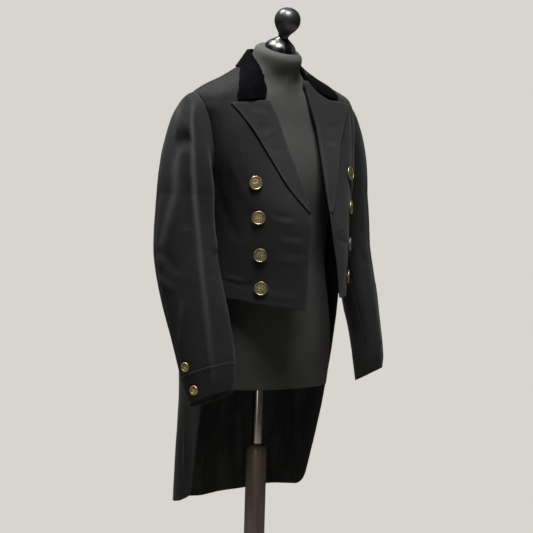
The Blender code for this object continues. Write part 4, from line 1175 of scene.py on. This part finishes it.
def make_cuff(side):
    """A ring of cloth from the cuff's seam to the hem, its upper edge a little proud of the sleeve."""
    turn = np.linspace(0, 1, 124, endpoint=False)[None, :]
    rise = (CUFF + CUFF_LAP) * even(CUFF, FINE_CELL)[:, None]
    points, turn = for_side(side, arm_ring(turn, rise, side)[:, ::-1], turn[:, ::-1])
    lift, worn = sleeve_relief(turn, rise, side, 51 + side)
    lift = lift + CUFF_PROUD[side] * soft_step((rise - CUFF + 0.012) / 0.012) + 0 * turn
    worn = worn + CUFF_WEAR_AND_HIGHLIGHT[side] * np.exp(-(CUFF - rise) / 0.0020) + 0.05 * np.exp(-rise / 0.003)
    points = points + lift[..., None] * normals(points, closed=True)
    place = np.stack(np.broadcast_arrays(turn * SLEEVE_GIRTH, rise), axis=-1)
    add_cloth(f"cuff_{WORDS[side]}", points, place, worn,
              closed=True)


# Rough sizes of the lapel: two that set its cells' number, and the breadth for its creases and pattern
LAPEL_LENGTH, LAPEL_BREADTH, CREASED_BREADTH = 0.28, 0.15, 0.13
LAPEL_START = BREAK + 0.004                 # height of its lowest row
LAPEL_ROLL, BREAK_ROLL = 0.0040, 0.0016     # radius of the fold along the roll line and at the break
# How far the flat part stands off the front at its ends, how much further halfway up, and at the least
LAPEL_OFF, LAPEL_SWELL, LEAST_OFF = 0.0033, 0.0012, 0.0030
TUCK = 0.0022                               # how far the fold reaches behind the front
FOLD_SHARE = 0.14                           # of the lapel's grid that goes round the fold


def lapel_points(side):
    """The turned-back part of the front: a half-round fold along the roll line, then the flat part.

    Round the fold, out = edge - r sin(f) and lift = r - tuck - r cos(f). The flat part falls from the
    fold's top to its outer edge, which stands off the front most halfway up.
    """
    heights = LAPEL_START + (PEAK - LAPEL_START) * even(LAPEL_LENGTH)
    across = even(LAPEL_BREADTH, FINE_CELL)
    top = np.clip((heights - GORGE_START[side]) / (PEAK - GORGE_START[side]), 0, 1)[:, None]
    inner = heights[:, None] + (GORGE_LINE[side].at("height", 0.045) - PEAK) * top
    edge = FRONT_EDGE[side].at("out", inner if side == LEFT else np.minimum(inner, 1.438))
    outer = LAPEL.at("out", heights)[:, None]
    tall = soft_step((heights - BREAK) / 0.06)[:, None]
    radius = BREAK_ROLL + (LAPEL_ROLL - BREAK_ROLL) * tall
    fold = math.pi * np.clip(across / FOLD_SHARE, 0, 1) * 0.8 + 0.2 * math.pi
    flat = np.clip((across - FOLD_SHARE) / (1 - FOLD_SHARE), 0, 1)
    halfway = np.sin(math.pi * np.clip((heights - BREAK) / (PEAK - BREAK), 0, 1))[:, None]
    stand_off = LAPEL_OFF + LAPEL_SWELL * halfway
    out = edge - radius * np.sin(fold) + (outer - edge) * flat
    height = heights[:, None] + (GORGE_LINE[side].at("height", np.abs(out)) - PEAK) * top
    high = 2 * radius - TUCK
    lift = np.where(flat > 0, high + (stand_off - high) * soft_step(flat),
                    radius - TUCK - radius * np.cos(fold))
    lift = np.maximum(lift, np.where(flat > 0, LEAST_OFF, -1))
    angle = np.sign(out) * angle_at_out(BODY, np.abs(out), height)
    return angle, height, lift, np.broadcast_to(across, height.shape)


def make_lapel(side):
    """The lapel with its creases, rubbed edges, and a painted highlight that lightens it most halfway up."""
    angle, height, lift, across = lapel_points(side)
    more, worn = creased(LAPEL_CREASES[side], across, height, CREASED_BREADTH)
    lift = lift + more + ripples(across * CREASED_BREADTH, height, 0.00035, 61 + side)
    points = section_point(BODY, angle, height) + lift[..., None] * surface_normal(BODY, angle, height)
    worn = worn + 0.14 * edge_wear(points, "right top") + 0.10 * np.exp(-((across - 0.10) / 0.05) ** 2)
    # Painted highlight: the whole lapel a little lighter, most at 1.345 m, standing in for the light on its
    # tilt.
    worn = worn + 0.03 + 0.11 * np.exp(-((height - 1.345) / 0.05) ** 2)
    place = np.stack([across * CREASED_BREADTH, height], axis=-1)
    points, place, worn = for_side(side, points, place, worn)
    add_cloth(f"lapel_{WORDS[side]}", points, place, worn)


def collar_points(side):
    """Half of the collar: across it, from the foot of the stand over the roll to the outer edge."""
    place, table = even(COLLAR_LENGTH), COLLAR[side]
    roll = np.stack([table.at(name, place) for name in ("roll_out", "roll_back", "roll_height")], axis=-1)
    angle, height = np.radians(table.at("turn", place)), table.at("height", place)
    out = surface_normal(BODY, angle, height)
    edge = section_point(BODY, angle, height) + COLLAR_OFF * out
    edge[:, 2] += shoulder_lift(edge, side)
    fall = unit(edge - roll)
    away = unit(fall * np.array([1.0, 1.0, 0.0]))
    up = np.array([0.0, 0.0, 1.0])
    foot = table.at("foot", place)[:, None]
    rows = [
        roll + (SPLAY * foot - COLLAR_ROLL) * away - foot * up,
        roll + 0.5 * (SPLAY * foot - 2 * COLLAR_ROLL) * away - 0.5 * foot * up,
        roll - 0.8 * COLLAR_ROLL * away - 0.45 * COLLAR_ROLL * up,
        roll,
        roll + 0.8 * COLLAR_ROLL * away - 0.45 * COLLAR_ROLL * up]
    outer = rows[-1]
    for share in (0.34, 0.67):
        crown = math.sin(math.pi * share) * np.clip((place - 0.45) / 0.4, 0, 1)[:, None]
        sag = math.sin(math.pi * share) * np.clip((place - 0.7) / 0.3, 0, 1)[:, None] * COLLAR_SAG[side]
        rows.append(outer + (edge - outer) * share + COLLAR_BULGE[side] * crown * out
                    - sag * np.array([0.0, 0.6, 1.0]))
    rows.append(edge)
    return through(np.array(rows), COLLAR_ROWS)


def make_collar():
    """The velvet collar, with both halves in one piece, rubbed along its fold and its edges."""
    points = np.concatenate([mirrored(collar_points(RIGHT), RIGHT)[:, :0:-1], collar_points(LEFT)], axis=1)
    rows, columns = points.shape[:2]
    across, up = np.meshgrid(np.linspace(-COLLAR_LENGTH, COLLAR_LENGTH, columns),
                             np.linspace(0, COLLAR_BREADTH, rows))
    points = points + ripples(across, up, 0.0004, 71)[..., None] * normals(points)
    fold = np.exp(-((np.linspace(0, 1, rows) - FOLD_PLACE) / 0.05) ** 2)[:, None]
    worn = 0.06 * fold + 0.08 * edge_wear(points, "left right top")
    place = np.stack([across, up], axis=-1)
    add_cloth("collar", points, place, worn, slot="velvet")


def button_relief(radius_of_button):
    """A generic ornament on the dome, nearly worn away: beads, a wreath, an eight-petalled rosette, a boss.

    Each is its height times exp(-(d / width)^2), where d is how far the share of the radius is from it.
    """
    def relief(radius, turn, height):
        share = radius / radius_of_button
        front = height > 0.0030
        beads = np.exp(-((share - 0.76) / 0.05) ** 2) * (0.55 + 0.45 * np.cos(28 * turn))
        petals = np.exp(-((share - 0.32 - 0.12 * np.cos(8 * turn)) / 0.10) ** 2)
        wreath = np.exp(-((share - 0.62) / 0.05) ** 2) * (0.5 + 0.5 * np.cos(16 * turn + 30 * share))
        boss = np.exp(-(share / 0.10) ** 2)
        depth = 0.00030 * beads + 0.00035 * petals + 0.00022 * wreath + 0.0004 * boss
        return height + front * depth
    return relief


def button_profile(radius):
    """A shallow dome with a rolled rim on a short shank: (radius, height), bottom to top."""
    back = [(0.0, 0.0), (radius * 0.30, 0.0), (radius * 0.30, 0.0020), (radius * 0.92, 0.0023)]
    turn = np.linspace(-0.45 * math.pi, 0.85 * math.pi, 9)
    rim = np.stack([radius * 0.925 + 0.00115 * np.cos(turn), 0.0038 + 0.0014 * np.sin(turn)], axis=-1)
    share = np.linspace(DOME, 0.0, 26)
    dome = np.stack([radius * share, 0.0036 + 0.0012 * (1 - (share / DOME) ** 2)], axis=-1)
    return np.concatenate([back, rim, dome])


def add_button(node, radius, foot, normal, side, tone):
    """A button in place of its node, with its shank on the cloth."""
    mesh = revolved(f"{node}_brass", button_profile(radius), 96, mirrored(foot, side),
                    mirrored(normal, side), button_relief(radius), tone)
    add_piece(mesh, "brass", node)


def make_front_buttons():
    """Four buttons down each front, each square to the cloth."""
    tones = {RIGHT: (0.0, 0.25, 0.95, 0.75), LEFT: (0.3, 0.1, 0.5, 0.6)}
    for side, word in WORDS.items():
        heights = FRONT_BUTTONS.values[::-1, 0]
        for number, (height, tone) in enumerate(zip(heights, tones[side]), start=1):
            at = height + (LEFT_LIFT if side == LEFT else 0.0)
            angle = angle_at_out(BODY, FRONT_BUTTONS.at(word, height), at)
            normal = surface_normal(BODY, angle, at)
            foot = section_point(BODY, angle, at)
            add_button(f"button_{word}_{number}", BUTTON, foot, normal, side, tone)


def make_cuff_buttons():
    """Two small buttons at the back of each sleeve, one on either side of the cuff's seam."""
    step = 1e-3
    for side, word in WORDS.items():
        for place, rise, turn in CUFF_BUTTONS:
            round_sleeve = arm_ring(turn + step, rise, side) - arm_ring(turn - step, rise, side)
            up_sleeve = arm_ring(turn, rise + step, side) - arm_ring(turn, rise - step, side)
            normal = unit(np.cross(up_sleeve, round_sleeve))
            foot = arm_ring(turn, rise, side)
            add_button(f"cuff_button_{word}_{place}", CUFF_BUTTON, foot, normal, side, 0.2)


def make_form():
    """The torso and neck under smooth jersey, closed at both ends.

    Rings of the form's sections, smoothed by repeated weights of 1, 2, 1 round each ring and along the
    height, but less so at the top of the neck. Smaller rings close both ends.
    """
    bottom, top = FORM.values[[0, -1], 0]
    heights = bottom + (top - bottom) * even(FORM_LENGTH)
    turn = np.linspace(0, 2 * math.pi, 196, endpoint=False)
    points = section_point(FORM, turn[None, :], heights[:, None])
    for _ in range(24):
        points = (np.roll(points, 1, axis=1) + 2 * points + np.roll(points, -1, axis=1)) / 4
    loose = np.clip((1.546 - heights[1:-1]) / 0.03, 0.12, 1)[:, None, None]
    for _ in range(30):
        points[1:-1] += loose * (points[:-2] - 2 * points[1:-1] + points[2:]) / 4
    shares = np.array([0.985, 0.96, 0.90, 0.6, 0.3])[:, None, None]
    low, high = (ring.mean(axis=0) + (ring - ring.mean(axis=0)) * shares for ring in points[[0, -1]])
    points = np.concatenate([low[::-1], points, high])
    faces = capped(*points.shape[:2])
    height = points[..., 2]
    place = np.stack([turn * FORM_SPAN + 0 * height, height, 0 * height], axis=-1)
    place = np.concatenate([place.reshape(-1, 3), np.zeros((2, 3))])
    points = np.concatenate([points.reshape(-1, 3), points[[0, -1]].mean(axis=1)])
    add_piece(new_mesh("form_torso_jersey", points, faces, {"place": place}), "jersey", "form_torso")


def make_stand():
    """Finial, pole, column and base, each turned from its profile."""
    axis = (0.0, -math.sin(FINIAL_LEAN), math.cos(FINIAL_LEAN))
    cone = [(0.0324, 0.0), (0.0329, 0.0018), (0.0326, 0.0044), (0.0310, 0.0082), (0.0278, 0.0122),
            (0.0228, 0.0166), (0.0168, 0.0210), (0.0122, 0.0246), (0.0108, 0.0260)]
    cone = np.concatenate([[(0.0, 0.0)], through(np.array(cone), 60), [(0.0, cone[-1][1])]])
    add_piece(revolved("finial_cone_chrome", cone, 96, CAP, axis), "chrome", "finial_cone")
    knob = [(0.0104, 0.0), (0.0108, 0.0030), (0.0136, 0.0090), (0.0200, 0.0174), (0.0255, 0.0270),
            (0.0274, 0.0374), (0.0248, 0.0490), (0.0184, 0.0578), (0.0106, 0.0622), (0.0040, 0.0638),
            (0.0024, 0.0652), (0.0004, 0.0660)]
    knob = np.concatenate([[(0.0, 0.0)], through(np.array(knob), 90), [(0.0, knob[-1][1])]])
    above = [foot + (cone[-1][1] + STAND_SPACE) * way for foot, way in zip(CAP, axis)]
    add_piece(revolved("finial_knob_lacquer", knob, 96, above, axis), "gloss_black", "finial_knob")
    pole_foot = COLUMN_TOP + STAND_SPACE
    pole = [(0.0, pole_foot), (POLE, pole_foot), (POLE, POLE_TOP), (0.0, POLE_TOP)]
    add_piece(revolved("pole_steel", rounded(pole, 0.0006), 72), "steel", "pole")
    column = [(0.0, COLUMN_FOOT), (COLUMN, COLUMN_FOOT), (COLUMN, COLUMN_TOP - 0.020),
              (0.0205, COLUMN_TOP - 0.009), (0.0175, COLUMN_TOP - 0.003), (0.0130, COLUMN_TOP),
              (0.0, COLUMN_TOP)]
    add_piece(revolved("column_wood", rounded(column, 0.006), 72), "wood", "column")
    base = [(0.0, 0.0), (0.1900, 0.0), (0.1900, 0.0120), (0.1860, 0.0170), (0.1700, 0.0200),
            (0.0700, 0.0260), (0.0600, 0.0350), (0.0500, 0.0390), (0.0, 0.0390)]
    add_piece(revolved("base_wood", rounded(base, 0.004), 144), "wood", "base")


def look_at(place, aim, roll):
    """The rotation that looks from a place at an aim, turned by roll about the line of sight."""
    ahead = unit(np.array(aim) - np.array(place))
    right = unit(np.cross(ahead, [0.0, 0.0, 1.0]))
    up = np.cross(right, ahead)
    turned = math.cos(roll) * right + math.sin(roll) * up
    upward = -math.sin(roll) * right + math.cos(roll) * up
    matrix = np.eye(4)
    matrix[:3, 0], matrix[:3, 1], matrix[:3, 2], matrix[:3, 3] = turned, upward, -ahead, place
    return matrix.T


# The square soft lights: where each stands, its aim, its side and the property with its power
LIGHTS = {
    "key_light": ((-0.52, -0.80, 4.00), (0.0, -0.1, 1.3), 1.1, "key_power"),
    "shoulder_light": ((-0.55, 1.35, 4.20), (0.0, 0.0, 1.4), 1.2, "side_power"),
    "low_light": ((-2.60, -1.80, 0.90), (0.0, 0.0, 0.7), 0.8, "low_power")}


def make_stage():
    """A pale floor, a plain background, soft light from above and the camera at the photo's angle."""
    scene, studio = bpy.context.scene, bpy.context.scene.tailcoat_studio
    turn = np.linspace(0, 2 * math.pi, 96, endpoint=False)
    rim = np.stack([studio.floor * np.cos(turn), studio.floor * np.sin(turn), 0 * turn], axis=-1)
    mesh = bpy.data.meshes.new("floor")
    mesh.from_pydata(rim.tolist(), [], [list(range(len(turn)))])
    floor = bpy.data.objects.new("floor", mesh)
    scene.collection.objects.link(floor)
    plain = Finish("pale_floor", Roughness=0.8, Base_Color=(0.42, 0.41, 0.38, 1.0))
    mesh.materials.append(plain.made)
    world = bpy.data.worlds.new("studio")
    world.use_nodes = True
    sky = Shade(world.node_tree)
    backdrop = sky.node("ShaderNodeBackground", None, {"Color": (*studio.background, 1.0)})
    dim = sky.node("ShaderNodeBackground", None,
                   {"Color": (*studio.background, 1.0), "Strength": studio.fill})
    seen = sky.node("ShaderNodeLightPath")
    both = sky.node("ShaderNodeMixShader", None, {0: seen, 1: dim, 2: backdrop})
    world.node_tree.links.new(both.socket, world.node_tree.nodes["World Output"].inputs["Surface"])
    scene.world = world
    for name, (place, aim, side, power) in LIGHTS.items():
        light = bpy.data.lights.new(name, "AREA")
        light.size, light.energy = side, getattr(studio, power)
        lamp = bpy.data.objects.new(name, light)
        scene.collection.objects.link(lamp)
        lamp.matrix_world = look_at(place, aim, 0.0).tolist()
    camera = bpy.data.objects.new("camera", bpy.data.cameras.new("camera"))
    scene.collection.objects.link(camera)
    camera.data.sensor_width, camera.data.lens = 36.0, studio.lens
    turn = math.radians(studio.turn)
    place = (-math.sin(turn) * studio.away, -math.cos(turn) * studio.away, studio.eye)
    aim = (studio.aside * math.cos(turn), -studio.aside * math.sin(turn), studio.aim)
    camera.matrix_world = look_at(place, aim, studio.roll).tolist()
    scene.camera = camera
    scene.view_settings.view_transform = "Standard"


def size(label, text, default):
    """A length that a user may change."""
    return bpy.props.FloatProperty(name=label, description=text, default=default, min=0.0, unit="LENGTH",
                                   precision=4)


def number(label, text, default, subtype="NONE"):
    """A number that a user may change."""
    return bpy.props.FloatProperty(name=label, description=text, default=default, subtype=subtype)


def colour(label, text, default):
    """A colour that a user may change."""
    return bpy.props.FloatVectorProperty(name=label, description=text, default=default, size=3, min=0.0,
                                         max=1.0, subtype="COLOR")


class TailcoatSizes(bpy.types.PropertyGroup):
    """Sizes of the cloth."""

    cloth: size("Cloth", "Thickness of the wool and the velvet", 0.0020)


class TailcoatColours(bpy.types.PropertyGroup):
    """Colours of the materials."""

    wool: colour("Wool", "The coat's cloth", (0.0125, 0.0128, 0.0128))
    # This colour also serves the painted highlights along crests and on the lapels.
    rubbed: colour("Rubbed wool", "Where the nap is worn off", (0.070, 0.071, 0.070))
    velvet: colour("Velvet", "The collar", (0.0014, 0.0016, 0.0021))
    rubbed_velvet: colour("Rubbed velvet", "Where the pile is worn off", (0.012, 0.0125, 0.016))
    jersey: colour("Jersey", "The cover of the dress form", (0.042, 0.0413, 0.0390))
    brass: colour("Brass", "Clean brass", (0.56, 0.43, 0.23))
    tarnish: colour("Tarnish", "Brass in the hollows", (0.12, 0.095, 0.055))
    chrome: colour("Chrome", "The flared cap", (0.105, 0.108, 0.112))
    lacquer: colour("Lacquer", "The knob", (0.008, 0.008, 0.008))
    steel: colour("Steel", "The pole", (0.50, 0.45, 0.39))
    wood: colour("Wood", "The column and the base", (0.085, 0.060, 0.044))


class TailcoatStudio(bpy.types.PropertyGroup):
    """The camera and the lights."""

    background: colour("Background", "The plain backdrop", (0.686, 0.665, 0.617))
    floor: size("Floor", "Radius of the floor", 3.0)
    away: size("Camera distance", "From the pole to the camera", 6.0)
    eye: size("Camera height", "Above the floor", 1.50)
    aim: size("Aim height", "Height that the camera looks at", 1.093)
    aside: size("Aim aside", "How far beside the pole the camera looks", 0.0105)
    turn: number("Turn", "Degrees round from the front to the wearer's right", 45.0)
    roll: number("Roll", "Turn about the line of sight", 0.028, "ANGLE")
    lens: number("Lens", "Focal length on a 36 mm sensor", 192.5, "DISTANCE_CAMERA")
    fill: number("Fill", "Share of the backdrop that lights the pieces", 0.065)
    key_power: number("Key light", "Power of the light above the front", 182.0, "POWER")
    side_power: number("Shoulder light", "Power of the light above and behind the shoulders", 150.0, "POWER")
    low_power: number("Low light", "Power of the light near the floor", 3.2, "POWER")


def both_sides(make):
    """Call a maker for each side."""
    for side in WORDS:
        make(side)


class MakeForm(bpy.types.Operator):
    """Make the dress form's torso and neck"""
    bl_idname = "tailcoat.form"
    bl_label = "Dress form"

    def execute(self, context):
        make_form()
        return {"FINISHED"}


class MakeStand(bpy.types.Operator):
    """Make the finial, the pole, the column and the base"""
    bl_idname = "tailcoat.stand"
    bl_label = "Stand"

    def execute(self, context):
        make_stand()
        return {"FINISHED"}


class MakeFronts(bpy.types.Operator):
    """Make both front panels"""
    bl_idname = "tailcoat.fronts"
    bl_label = "Fronts"

    def execute(self, context):
        both_sides(make_front)
        return {"FINISHED"}


class MakeBacks(bpy.types.Operator):
    """Make the back panels and the side bodies"""
    bl_idname = "tailcoat.backs"
    bl_label = "Backs and side bodies"

    def execute(self, context):
        both_sides(make_back)
        both_sides(make_side_body)
        return {"FINISHED"}


class MakeTails(bpy.types.Operator):
    """Make both tails"""
    bl_idname = "tailcoat.tails"
    bl_label = "Tails"

    def execute(self, context):
        both_sides(make_tail)
        return {"FINISHED"}


class MakeSleeves(bpy.types.Operator):
    """Make the two-piece sleeves and their cuffs"""
    bl_idname = "tailcoat.sleeves"
    bl_label = "Sleeves"

    def execute(self, context):
        both_sides(make_sleeve)
        both_sides(make_cuff)
        return {"FINISHED"}


class MakeLapels(bpy.types.Operator):
    """Make both lapels"""
    bl_idname = "tailcoat.lapels"
    bl_label = "Lapels"

    def execute(self, context):
        both_sides(make_lapel)
        return {"FINISHED"}


class MakeCollar(bpy.types.Operator):
    """Make the velvet collar"""
    bl_idname = "tailcoat.collar"
    bl_label = "Collar"

    def execute(self, context):
        make_collar()
        return {"FINISHED"}


class MakeButtons(bpy.types.Operator):
    """Make the buttons on the fronts and the cuffs"""
    bl_idname = "tailcoat.buttons"
    bl_label = "Buttons"

    def execute(self, context):
        make_front_buttons()
        make_cuff_buttons()
        return {"FINISHED"}


class MakeStage(bpy.types.Operator):
    """Make the floor, the background, the lights and the camera"""
    bl_idname = "tailcoat.stage"
    bl_label = "Studio"

    def execute(self, context):
        make_stage()
        return {"FINISHED"}


OPERATORS = (MakeStage, MakeForm, MakeStand, MakeFronts, MakeBacks, MakeTails, MakeSleeves, MakeLapels,
             MakeCollar, MakeButtons)
GROUPS = {"tailcoat_sizes": TailcoatSizes, "tailcoat_colours": TailcoatColours,
          "tailcoat_studio": TailcoatStudio}


class TailcoatPanel(bpy.types.Panel):
    """Sizes, colours and one button for each group of pieces"""
    bl_idname = "VIEW3D_PT_tailcoat"
    bl_label = "Tailcoat"
    bl_space_type = "VIEW_3D"
    bl_region_type = "UI"
    bl_category = "Tailcoat"

    def draw(self, context):
        for name, group in GROUPS.items():
            box = self.layout.box()
            for field in group.__annotations__:
                box.prop(getattr(context.scene, name), field)
        for operator in OPERATORS:
            self.layout.operator(operator.bl_idname)


CLASSES = (*GROUPS.values(), *OPERATORS, TailcoatPanel)


def register():
    for entry in CLASSES:
        bpy.utils.register_class(entry)
    for name, group in GROUPS.items():
        setattr(bpy.types.Scene, name, bpy.props.PointerProperty(type=group))


def unregister():
    for name in GROUPS:
        delattr(bpy.types.Scene, name)
    for entry in reversed(CLASSES):
        bpy.utils.unregister_class(entry)


def main():
    """Make every piece in order."""
    register()
    for operator in OPERATORS:
        group, name = operator.bl_idname.split(".")
        getattr(getattr(bpy.ops, group), name)()


if __name__ == "__main__":
    main()
